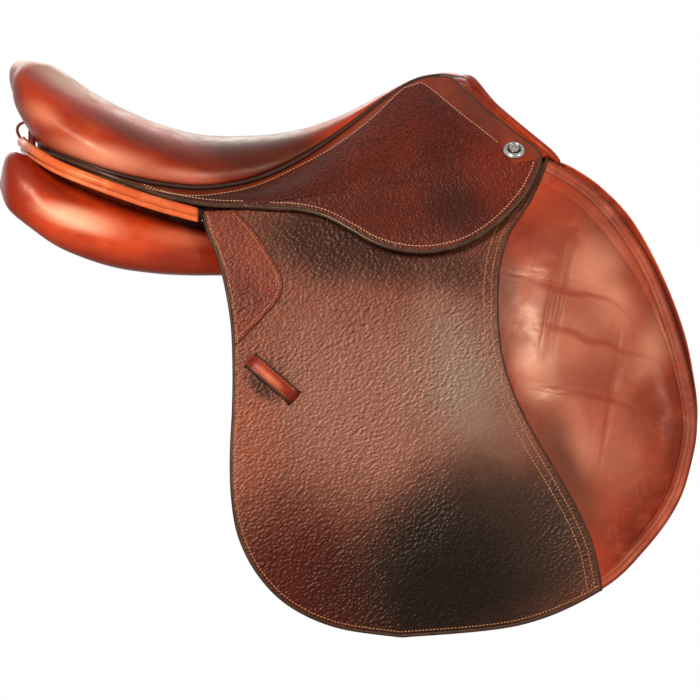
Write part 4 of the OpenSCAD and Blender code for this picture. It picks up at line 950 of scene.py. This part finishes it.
def flap():
    bead, thread = 1, 3
    rear, toe, divide = curve(REAR_SHARES), curve(FRONT_SHARES, 1, END, 200), curve(DIVIDE_SHARES, 1, 0)
    edge = np.vstack([rear, toe[1:]])
    b = Build().add(*sheet([rear, toe, divide, top_line(flap_xz(DIVIDE_SHARES[0]))],
                           level(0.0, flap_ripple), level(-FLAP_T), edge=FLAP_EDGE, step=2.0, grid=6.0))
    for line, aside, sink, r in ((edge, EDGE_BEAD_IN, EDGE_BEAD_SINK, EDGE_BEAD_R),
                                 (divide, DIVIDE_BEAD_IN, DIVIDE_BEAD_SINK, DIVIDE_BEAD_R)):
        b.add(*tube(resample(on_flap(inset(line, aside), -sink), 3.0), r, (0, 1, 0.1), 10), bead)

    cut, back = curve(PATCH_SHARES), curve(REAR_SHARES, n=600)
    low = int(np.argmin(np.hypot(*(back - cut[-1]).T)))
    back = inset(back, PATCH_IN)[:low + 1]
    back = back[int(np.argmin(np.abs(back[:, 1] - cut[0, 1] + PATCH_DROP))):]
    patch = Build().add(*sheet([cut, back[::-1], np.array([back[0], cut[0]])], level(PATCH_FACE, flap_ripple),
                               level(PATCH_BACK, flap_ripple), edge=PATCH_EDGE, step=1.6, grid=4.0))
    tree = Build().add(b.points(), b.f).add(patch.points(), patch.f).tree()
    sew(b, thread, tree, inset(edge, EDGE_SEAM_IN)[3:])
    for aside, end in DIVIDE_SEAMS:
        sew(b, thread, tree, inset(divide, aside)[3:-end])
    put(b, "flap_leather", "flap_{}", "flap edge lining thread", ("flap_{}",))
    sew(patch, thread, tree, inset(cut, -PATCH_SEAM_IN)[4:-6], pitch=3.0, length=2.3)
    put(patch, "flap_patch_leather", "flap_{}", "patch edge edge thread",
        ("flap_patch_{}",))
    return tree


# Keeper: its middle in a pixel of the photograph, its half width and thickness, and half of its run
KEEPER_PIXEL, KEEPER_TURN = (272.5, 379.5), -41
KEEPER_W, KEEPER_T, KEEPER_R, KEEPER_ROWS = 7.6, 1.4, 0.9, 70
KEEPER_RUN = [(-25.5, -2.4), (-25.2, 0.6), (-24.0, 3.4), (-21.0, 5.6), (-15, 6.6), (-6, 6.9), (0, 7.0)]
KEEPER_CROWN, CROWN_FACES = [(5.5, 0.15), (3.8, 0.7), (1.6, 1.0)], range(4, 9)
KEEPER_SWAY, KEEPER_WAVES = 0.02, 0.3
KEEPER_SEAM, KEEPER_SEAM_W, KEEPER_SEAM_UP = 21, 4.5, 0.35
SLIT_X, SLIT_W, SLIT_R, SLIT_FLAT = 25.8, 7.2, 1.5, 0.25


def keeper(tree):
    """Short strap on the flap that holds the stirrup leather's end."""
    edge, thread, slit = 1, 2, 3
    mid = photo_xz(KEEPER_PIXEL)
    o = on_flap(mid)
    turn = math.radians(KEEPER_TURN)
    ex, ez = np.array([1.0, 0, 0]), unit(np.array([0, -(mid[1] - LOW_Z) / FLAP_R, 1.0]))
    d, w = ex * math.cos(turn) + ez * math.sin(turn), ez * math.cos(turn) - ex * math.sin(turn)
    up = np.cross(w, d)
    run = KEEPER_RUN + [(-x, z) for x, z in KEEPER_RUN[-2::-1]]
    path = spline(run, np.linspace(0, 1, KEEPER_ROWS))
    ring = [(KEEPER_W - KEEPER_R + KEEPER_R * math.cos(k), KEEPER_T - KEEPER_R + KEEPER_R * math.sin(k))
            for k in np.linspace(0, np.pi / 2, 4)]
    ring += [(x, KEEPER_T + z) for x, z in KEEPER_CROWN]
    ring += [(-x, z) for x, z in ring[::-1]]
    ring += [(x, -min(z, KEEPER_T)) for x, z in ring[::-1]]
    ring = np.array(ring)
    v = []
    for (x, z), (nx, nz) in zip(path, normals(path)):
        side = w * (1 + KEEPER_SWAY * math.sin(x * KEEPER_WAVES))
        v.append(o + d * x + up * z + np.outer(ring[:, 0], side) + np.outer(ring[:, 1], d * nx + up * nz))
    b = Build()
    b.loft(np.stack(v), o + up * KEEPER_RUN[3][1])
    b.m = [0 if i % len(ring) in CROWN_FACES else edge for i in range(len(b.f))]
    for side in (-1, 1):
        x = np.linspace(-KEEPER_SEAM, KEEPER_SEAM, 60)[:, None]
        z = np.interp(x, *path.T) + KEEPER_T + KEEPER_SEAM_UP
        p = o + d * x + up * z + w * side * KEEPER_SEAM_W
        stitches(b, thread, p, np.tile(up, (len(p), 1)), length=2.1, width=0.6, height=0.5)
    for side in (-1, 1):
        p = np.array([o + d * side * SLIT_X + w * x for x in np.linspace(-SLIT_W, SLIT_W, 24)])
        p, _ = drape(tree, p[:, [0, 2]], 0.1)
        b.add(*tube(p, SLIT_R, up, 10, SLIT_FLAT), slit)
    put(b, "keeper_strap", "flap_{}", "keeper edge thread slot", ("keeper_{}",))


# Swelling of the knee pad's leather
SWELL_FRAMES, SWELL_PRESSURE, SWELL_MASS = 20, 4.0, 0.25
SWELL_TENSION, SWELL_SHEAR, SWELL_BEND, SWELL_QUALITY = 20, 10, 0.6, 6


def puff(p, held, cap):
    """How far leather moves when padding swells it: a cloth simulation of a grid, held by weights."""
    me = bpy.data.meshes.new("swelling")
    faces = outward_quads(quads(*held.shape), p, PAD_INSIDE)
    me.from_pydata([tuple(a) for a in p.reshape(-1, 3) * MM], [], faces)
    o = bpy.data.objects.new("swelling", me)
    bpy.context.collection.objects.link(o)
    group = o.vertex_groups.new(name="held")
    for i, w in enumerate(held.ravel()):
        group.add([i], float(min(1, max(0, w))), "REPLACE")
    cloth = o.modifiers.new("cloth", "CLOTH")
    c = cloth.settings
    c.quality, c.mass = SWELL_QUALITY, SWELL_MASS
    c.tension_stiffness = c.compression_stiffness = SWELL_TENSION
    c.shear_stiffness, c.bending_stiffness = SWELL_SHEAR, SWELL_BEND
    c.effector_weights.gravity = 0
    c.use_pressure, c.uniform_pressure_force = True, SWELL_PRESSURE
    c.vertex_group_mass = "held"
    cloth.point_cache.frame_start, cloth.point_cache.frame_end = 1, SWELL_FRAMES
    scene = bpy.context.scene
    for k in range(1, SWELL_FRAMES + 1):
        scene.frame_set(k)
    q = np.empty(p.size)
    o.evaluated_get(bpy.context.evaluated_depsgraph_get()).data.vertices.foreach_get("co", q)
    scene.frame_set(1)
    bpy.data.objects.remove(o)
    move = q.reshape(p.shape) / MM - p
    far = np.linalg.norm(move, axis=-1, keepdims=True)
    return move * np.minimum(1, cap / np.maximum(far, 1e-6))


def spread(a, n):
    """The rows of a grid of vectors spread over n rows."""
    flat = a.reshape(len(a), -1)
    return along(flat, np.linspace(0, len(a) - 1, n), np.arange(len(a))).reshape(n, *a.shape[1:])


# Lining, knee pad and sweat flap
LINING_FACE, LINING_EDGE, SWEAT_EDGE = -FLAP_T - LAY, 1.1, 1.5
PAD_BASE, PAD_T, PAD_RISE, PAD_REAR, PAD_REAR_OUT = LINING_FACE + 0.1, 12.0, 36, 60, 1.0
BORDER_T, BORDER_W, BORDER_TOP_W, BORDER_TOP_Z, BORDER_ROUND, RIM_W = 1.4, 12.5, 8, (-80, 50), (0, 1.3), 11
# Ways from the front edge and from the divide over which the leather stops being held
FRONT_HELD, DIVIDE_HELD = (15, 11), (6, 3)
ROLL_IN, ROLL_UP, ROLL_W = 2.4, 0.9, 1.8
PAD_SEAM_IN, PAD_SEAM_DEEP, PAD_SEAM_W = 9.5, 0.7, 1.5
PAD_COARSE, PAD_FINE, PAD_EASE, PAD_SPAN = (110, 58), (330, 170), 0.45, (0.004, 0.996)
PAD_SWELL, PAD_FILL, RISE_POWER, CROWN_POWER, REAR_POWER = 3.2, 0.85, 2.2, 0.75, 1.9
# Quilt lines in pixels of the photograph, with how deep each lies and how firmly it is held
QUILT_PIXELS = [
    ([(500, 270), (518, 275), (560, 283), (621, 304), (640, 318)], 0.34, 0.5),
    ([(495, 311), (509, 316), (585, 333), (668, 357)], 0.4, 0.6),
    ([(520, 384), (533, 386), (600, 398), (679, 418)], 0.4, 0.6),
    ([(541, 208), (537, 240), (531, 272)], 0.14, 0.2),
    ([(579, 205), (570, 240), (554, 310), (540, 389)], 0.2, 0.35),
    ([(622, 322), (610, 390), (598, 440), (588, 489)], 0.24, 0.35)]
QUILT_W, QUILT_HOLD_W, QUILT_SHAKE, SHAKE_SIZE = 7.5, 5.5, 0.7, 12
QUILT_SWAY, PAD_RIPPLES = [(2.2, 30, 60.0)], [(0.5, 40, 11.0), (0.2, 16, 13.0)]
# Creases beside a quilt line: way from it and depth
CREASES, CREASE_W, CREASE_SIZE = ((0.0, 1.4), (3.4, 1.1), (6.4, 0.8)), 1.1, 26


def bell(x, width):
    return np.exp(-(x / width) ** 2)


def pad_grid(rows, cols):
    """The pad's points, from the divide to the front edge, and at each of them

    the share of padding, the height and the ways to both edges and to the quilt lines."""
    v = np.linspace(*PAD_SPAN, rows)
    u = np.linspace(0, 1, cols)
    u = mix(u, smooth(0, 1, u), PAD_EASE)
    routes = curve(DIVIDE_SHARES, 0, 1, 2000), curve(FRONT_SHARES, 0, END, 2000)
    a, c = (along(p, v, np.linspace(0, 1, len(p))) for p in (resample(p, 0.4) for p in routes))
    g = a[:, None] + (c - a)[:, None] * u[None, :, None]

    def reach(line):
        line = resample(line, 1.2)
        return np.stack([np.sqrt(((row[:, None] - line[None]) ** 2).sum(-1).min(1)) for row in g])

    front = reach(curve(FRONT_SHARES, 0, END, 1200))
    divide = reach(curve(DIVIDE_SHARES, 0, 1, 1200))
    border = BORDER_W + BORDER_TOP_W * smooth(*BORDER_TOP_Z, g[..., 1])
    rise = np.clip((front - border) / PAD_RISE, 0, 1)
    rear = np.clip((divide + PAD_REAR_OUT) / PAD_REAR, 0, 1)
    body = (1 - (1 - rise) ** RISE_POWER) ** CROWN_POWER * (1 - (1 - rear) ** REAR_POWER)
    # Flat border with a rolled rim and a sunk seam
    h = BORDER_T * smooth(*BORDER_ROUND, front) + PAD_T * body
    h += ROLL_UP * bell(front - ROLL_IN, ROLL_W) - PAD_SEAM_DEEP * bell(front - PAD_SEAM_IN, PAD_SEAM_W)
    lines = [reach(spline(photo_xz(p), np.linspace(0, 1, 120))) for p, _, _ in QUILT_PIXELS]
    return g, body, h, front, divide, lines


def pad_swell():
    """How far the padding moves the pad's leather, on a coarse grid."""
    g, _, h, front, divide, lines = pad_grid(*PAD_COARSE)
    sway = ripples(g[..., 0], g[..., 1], QUILT_SWAY)
    held = np.maximum(smooth(*FRONT_HELD, front), smooth(*DIVIDE_HELD, divide))
    for line, (_, _, hold) in zip(lines, QUILT_PIXELS):
        held = np.maximum(held, hold * bell(line + sway, QUILT_HOLD_W))
    return puff(on_flap(g, PAD_BASE + h), held, PAD_SWELL)


def knee_pads():
    thread, border = 1, 2
    swell = pad_swell()
    g, body, h, front, _, lines = pad_grid(*PAD_FINE)
    x, z = g[..., 0], g[..., 1]
    sway = ripples(x, z, QUILT_SWAY)
    for k, (line, (_, deep, _)) in enumerate(zip(lines, QUILT_PIXELS)):
        line = line + sway + QUILT_SHAKE * wave(x, z, SHAKE_SIZE, 20.0 + k)
        h -= body * deep * bell(line, QUILT_W)
        for aside, size in CREASES:
            part = np.clip(0.5 + 1.2 * wave(x, z, CREASE_SIZE, 40.0 + k + aside), 0, 1)
            h -= body * deep * size * part * bell(line - aside, CREASE_W)
    h += body * ripples(x, z, PAD_RIPPLES)
    rows, cols = PAD_FINE
    swell = spread(spread(swell, rows).swapaxes(0, 1), cols).swapaxes(0, 1)
    top = on_flap(g, PAD_BASE + h) + swell
    b = Build()
    f = b.slab(top, on_flap(g, PAD_BASE), PAD_INSIDE)
    for i in np.nonzero(front.reshape(-1)[np.array(f)].mean(1) < RIM_W)[0]:
        b.m[i] = border
    for line in grid_rim(*PAD_FINE):
        b.faces(outward_quads(wall(line, x.size), b.points(), top.reshape(-1, 3).mean(0)))
    line = inset(curve(FRONT_SHARES, 0.03, END - 0.03, 700), -PAD_SEAM_IN)
    sew(b, thread, b.tree(), line, 0.15, pitch=3.1, length=2.2, width=0.8)
    put(b, "knee_pad_leather", "flap_{}", "pad thread_brown pad_rim", ("knee_pad_{}",))


def linings():
    outline = [curve(REAR_SHARES), curve(FRONT_SHARES, 1, 0, 500), top_line(flap_xz(FRONT_SHARES[0]))]
    b = Build().add(*sheet(outline, level(LINING_FACE), level(LINING_FACE - LINING_T),
                           edge=LINING_EDGE, step=2.2, grid=8.0))
    put(b, "flap_lining_leather", "flap_{}", "lining pad lining", ("flap_lining_{}",))


def sweat_flaps():
    outline = [curve(SWEAT_SHARES), curve(SWEAT_TOP_SHARES), flap_xz([SWEAT_TOP_SHARES[-1], SWEAT_SHARES[0]])]
    out = -(FLAP_T + LAY + LINING_T + SWEAT_GAP)
    b = Build().add(*sheet(outline, level(out), level(out - SWEAT_T), edge=SWEAT_EDGE, step=2.4, grid=9.0))
    put(b, "sweat_flap_leather", "saddle", "front facing lining", ("sweat_flap_{}",))


# Panels
PANEL_ROWS, PANEL_SIDES, PANEL_LEAST, PANEL_FILL = 190, 84, 0.2, 0.8
PANEL_POWER, PANEL_EASE, PANEL_FLAT_SHARE, PANEL_SAG_SHARE = 0.85, 0.4, 0.94, 0.36
# Rings of the domed rear end: share of the first ring's size, and way behind it
PANEL_DOME = ((0.05, 0.6), (0.4, 0.52), (0.75, 0.3))
GUSSET_R, GUSSET_SQUASH = 1.6, 3.6


def panels():
    t = np.linspace(0, 1, PANEL_ROWS)
    r = spline(PANEL_SHARES, mix(t, smooth(0, 1, t), PANEL_EASE))
    a = np.linspace(0, 2 * np.pi, PANEL_SIDES, endpoint=False)
    wide = np.maximum(PANEL_LEAST, r[:, 3:4] * PANEL_W / 2)
    deep = np.maximum(PANEL_LEAST, r[:, 4:5] * PANEL_D / 2)
    p = np.sign(np.cos(a)) * np.abs(np.cos(a)) ** PANEL_POWER * wide
    q = np.sign(np.sin(a)) * np.abs(np.sin(a)) ** PANEL_POWER * deep
    # The outer side is fullest below its middle
    q = q * PANEL_FLAT_SHARE - PANEL_SAG_SHARE * deep * np.maximum(0, np.cos(a)) ** 2
    c, s = np.cos(np.pi / 2 * r[:, 5:6]), np.sin(np.pi / 2 * r[:, 5:6])
    v = np.stack([np.broadcast_to(r[:, 0:1] * PANEL[0], p.shape), r[:, 1:2] * PANEL[1] + p * c + q * s,
                  r[:, 2:3] * PANEL[2] + q * c - p * s], -1)
    # Domed rear end
    mid = v[0].mean(0)
    v = np.concatenate([[mid + (v[0] - mid) * size - [back, 0, 0]] for size, back in PANEL_DOME] + [v])
    b = Build()
    b.loft(v, v[len(v) // 2].mean(0))
    b.faces(ends(*v.shape[:2]))
    gusset = spline(GUSSET_SHARES, np.linspace(0, 1, 40)) * SEAT
    b.add(*tube(gusset, GUSSET_R, UP, squash=GUSSET_SQUASH), 1)
    put(b, "panel_leather", "saddle", "panel welt", ("panel_cover_{}", "panel_filling_{}"))


# Facing strips: their section, out and up, and their seam
STRIP_RING = np.array([
    (-1.7, -6.6), (0.6, -6.7), (1.6, -6.2), (2.1, -5.2), (1.9, -4.0), (0.9, -3.3), (1.6, -2.5), (3.2, -1.6),
    (4.5, 0.0), (4.9, 1.8), (4.3, 3.8), (2.9, 5.4), (0.9, 6.4), (-1.7, 6.5)])
STRIP_SEAM_OUT, STRIP_SEAM_DROP, STRIP_END, STRIP_TAPER, STRIP_BEHIND = 1.15, 3.3, 3.0, 0.1, 40


def facing_strips():
    p = resample(spline(STRIP_SHARES, np.linspace(0, 1, 150)) * SEAT, 2.0)
    t = np.gradient(p, axis=0)
    out = unit(np.stack([t[:, 1], -t[:, 0], 0 * t[:, 0]], 1))
    end = np.minimum(1, (np.arange(len(p)) + 1) / STRIP_END) ** 0.5
    thick, tall = STRIP_RING.T
    v = np.stack([a + np.outer(thick * k, n) + np.outer(tall * (1 - STRIP_TAPER + STRIP_TAPER * k), UP)
                  for a, n, k in zip(p, out, end)])
    b = Build()
    b.loft(v, p[len(p) // 2] - out[len(p) // 2] * STRIP_BEHIND)
    b.faces(ends(*v.shape[:2]))
    line = p + out * STRIP_SEAM_OUT - UP * STRIP_SEAM_DROP
    stitches(b, 1, line[2:], out[2:], pitch=3.3, length=1.5, width=0.9, height=0.5, slant=0)
    put(b, "facing_strip_leather", "saddle", "facing thread_pale", ("facing_strip_{}",))


# Front of the pommel: a roll, and leather lapped from the skirt's front edge to the roll
POMMEL_R, POMMEL_THIN, POMMEL_OFF = 3.8, 1.8, np.array([0.3, 0, 1.7])
LAP_ROWS, LAP_COLS, LAP_SINK, LAP_RISE = 80, 9, 2.2, 2.2
LAP_OFF, LAP_OUT, LAP_T = np.array([1.0, 0, 0.8]), np.array([0.4, 0.5, 0.9]), np.array([2.0, 1.0, 1.6])


def pommel():
    roll = spline(ROLL_SHARES, np.linspace(0, 1, 90)) * SEAT + POMMEL_OFF
    both = np.vstack([roll[:0:-1] * MIRROR, roll])
    r = POMMEL_R - POMMEL_THIN * smooth(0.75, 1, np.abs(np.linspace(-1, 1, len(both))))
    b = Build().add(*tube(both, r, (1, 0, 0), 16))
    put(b, "pommel_roll", "saddle", "front", ("pommel_facing",), False)

    a = skirt_pt(np.linspace(0.74, 0.985, LAP_ROWS), np.zeros(LAP_ROWS), LAP_SINK) - LAP_OFF
    roll = resample(roll, 0.5)
    c = along(roll, np.linspace(0.1, 0.97, LAP_ROWS), np.linspace(0, 1, len(roll)))
    k = np.linspace(0, 1, LAP_COLS)[None, :, None]
    v = a[:, None] + (c - a)[:, None] * k + LAP_OUT * LAP_RISE * np.sin(np.pi * k)
    b = Build()
    b.slab(v, v - LAP_T, (100, -100, 0))
    put(b, "pommel_lap", "saddle", "front")


# Leather loop behind the cantle, open in its middle: its run, section and place
LOOP_RUN = [
    (8.4, -2.0), (8.6, 4.0), (8.6, 10.0), (7.4, 16.2), (3.6, 19.5), (-0.5, 18.9), (-3.9, 16.3), (-4.9, 12.3),
    (-3.5, 7.8), (-1.0, 3.8), (1.5, -0.7)]
LOOP_RING = np.array([
    (7.2, -1.2), (8.0, -0.6), (8.0, 0.6), (7.2, 1.2), (0, 1.35), (-7.2, 1.2), (-8.0, 0.6), (-8.0, -0.6),
    (-7.2, -1.2)])
LOOP_SHARES, LOOP_STEP, LOOP_THICKER = np.array([-0.612, 0, 0.61]), 0.8, 1.7


def cantle_loop():
    path = resample(spline(LOOP_RUN, np.linspace(0, 1, 90)), LOOP_STEP)
    thick = 1 + LOOP_THICKER * smooth(20, 13, LOOP_STEP * np.arange(len(path)))
    wide, deep = LOOP_RING.T
    v = np.stack([LOOP_SHARES * SEAT + [x, 0, z] + np.stack([deep * nx * k, wide, deep * nz * k], 1)
                  for (x, z), (nx, nz), k in zip(path, normals(path), thick)])
    b = Build()
    b.loft(v, v.reshape(-1, 3).mean(0) + [10, 0, 0])
    put(b, "cantle_tab", "saddle", "band", ("cantle_loop",), False)


# Cup washers: place, axis, and rings of radius and height, the last of them in shade
NAIL_AT, NAIL_AXIS = np.array([192.91, 95.47, 107.76]), np.array([0.046, 0.724, 0.688])
CUP = [
    (10.2, 0.1), (10.4, 0.7), (10.1, 1.4), (9.3, 2.3), (8.3, 3.0), (7.4, 3.3), (6.7, 3.2), (6.2, 2.7),
    (5.7, 1.9), (5.0, 1.4), (2.6, 1.3)]
CUP_SIDES, CUP_BRIGHT = 56, 8


def nails():
    """Cup washers under the screws on the skirts' front corners."""
    n = unit(NAIL_AXIS)
    a = unit(np.cross(n, UP))
    k = np.linspace(0, 2 * np.pi, CUP_SIDES, endpoint=False)
    ring = np.outer(np.cos(k), a) + np.outer(np.sin(k), np.cross(n, a))
    v = np.stack([NAIL_AT + n * h + ring * r for r, h in CUP])
    f = outward_quads(quads(len(CUP), CUP_SIDES, True), v, NAIL_AT - n * 20)
    m = [0 if i < CUP_BRIGHT * CUP_SIDES else 1 for i in range(len(f))]
    b = Build().add(v, f, m).add(v * MIRROR, turned(f), m)
    put(b, "nail_cup_washers", "saddle", "chrome slot", ("nail_cups",), False)


def paint(mat, *nodes):
    """Gives CAD nodes that stay in sight a material."""
    for n in nodes:
        for name in ([n.format(w) for w, _ in SIDES] if "{}" in n else [n]):
            o = frame["nodes"][name]
            o.data.materials.clear()
            o.data.materials.append(M[mat])


seat()
skirts()
lobes()
keeper(flap())
linings()
knee_pads()
sweat_flaps()
panels()
facing_strips()
pommel()
cantle_loop()
nails()
paint("wood", "tree_head", "tree_rail_{}", "tree_cantle")
paint("steel", "head_plate", "gullet_plate", "spring_steel_{}", "tree_rivets", "stirrup_bar_{}",
      "bar_catch_{}", "catch_pin_{}", "bar_rivets")
paint("chrome", "nail_screws")
paint("canvas", "seat_webs", "girth_web_{}")
paint("strap", "girth_strap_front_{}", "girth_strap_rear_{}")
paint("front", "pommel_front")


# Floor, light and camera, in metres
FLOOR_R, FLOOR_Z, FLOOR_SIDES = 2.4, -0.5, 96
ROOM_LIGHT = 0.16
WARM, WARMER = (1, 0.96, 0.91), (1, 0.88, 0.74)
# Name, place, aim, size, power and colour
LAMPS = [("key", (-0.7, -2.1, 0.88), (0, 0, 0), (0.55, 0.65), 56, WARM),
         ("top", (-0.1, 2.0, 0.95), (0, 0, 0.1), (2.4, 0.7), 11, WARMER),
         ("fill", (1.7, -1.9, 0.7), (0.15, 0, -0.1), (0.45, 0.6), 13, WARM)]
CAMERA_AT, CAMERA_CLIP, SENSOR = (0.045, -20, -0.072), 100, 36
VIEW_W, VIEW_NEAR = 0.63, 0.13


def world(scene):
    """White to the camera and in reflections, and a low even light on everything."""
    scene.world = bpy.data.worlds.new("studio")
    g = Graph(scene.world)
    ray = g.add("LightPath", {}).outputs
    seen = g.math("MAXIMUM", ray["Is Camera Ray"], ray["Is Transmission Ray"])
    seen = g.math("MAXIMUM", seen, ray["Is Glossy Ray"])
    strength = g.get("MapRange", {"Value": seen, "To Min": ROOM_LIGHT, "To Max": 1.0}, "Result")
    g.add("OutputWorld", {0: g.get("Background", {"Color": (1, 1, 1, 1), "Strength": strength})})


def placed(name, data):
    o = bpy.data.objects.new(name, data)
    bpy.context.collection.objects.link(o)
    return o


def studio():
    scene = bpy.context.scene
    scene.view_settings.view_transform = "Standard"
    world(scene)

    me = bpy.data.meshes.new("floor")
    k = np.linspace(0, 2 * np.pi, FLOOR_SIDES, endpoint=False)
    me.from_pydata([(FLOOR_R * math.cos(x), FLOOR_R * math.sin(x), FLOOR_Z) for x in k], [],
                   [tuple(range(FLOOR_SIDES))])
    floor = placed("floor", me)
    m = Mat("pale_floor", 0.9, 0.1)
    m.fill(m.bsdf, {"Base Color": m.blend(m.noise(40), srgb(238, 238, 236), srgb(232, 232, 230))})
    me.materials.append(m.mat)

    for name, at, aim, size, power, colour in LAMPS:
        light = bpy.data.lights.new(name, "AREA")
        light.shape = "RECTANGLE"
        light.size, light.size_y = size
        light.energy, light.color = power, colour
        o = placed(name, light)
        o.location = at
        o.rotation_euler = (Vector(aim) - Vector(at)).to_track_quat("-Z", "Y").to_euler()
        o.visible_camera = False

    camera = bpy.data.cameras.new("camera")
    camera.sensor_width, camera.clip_end = SENSOR, CAMERA_CLIP
    camera.lens = SENSOR * (-CAMERA_AT[1] - VIEW_NEAR) / VIEW_W
    scene.camera = placed("camera", camera)
    scene.camera.location = CAMERA_AT
    scene.camera.rotation_euler = (math.pi / 2, 0, 0)


studio()
bpy.context.view_layer.update()
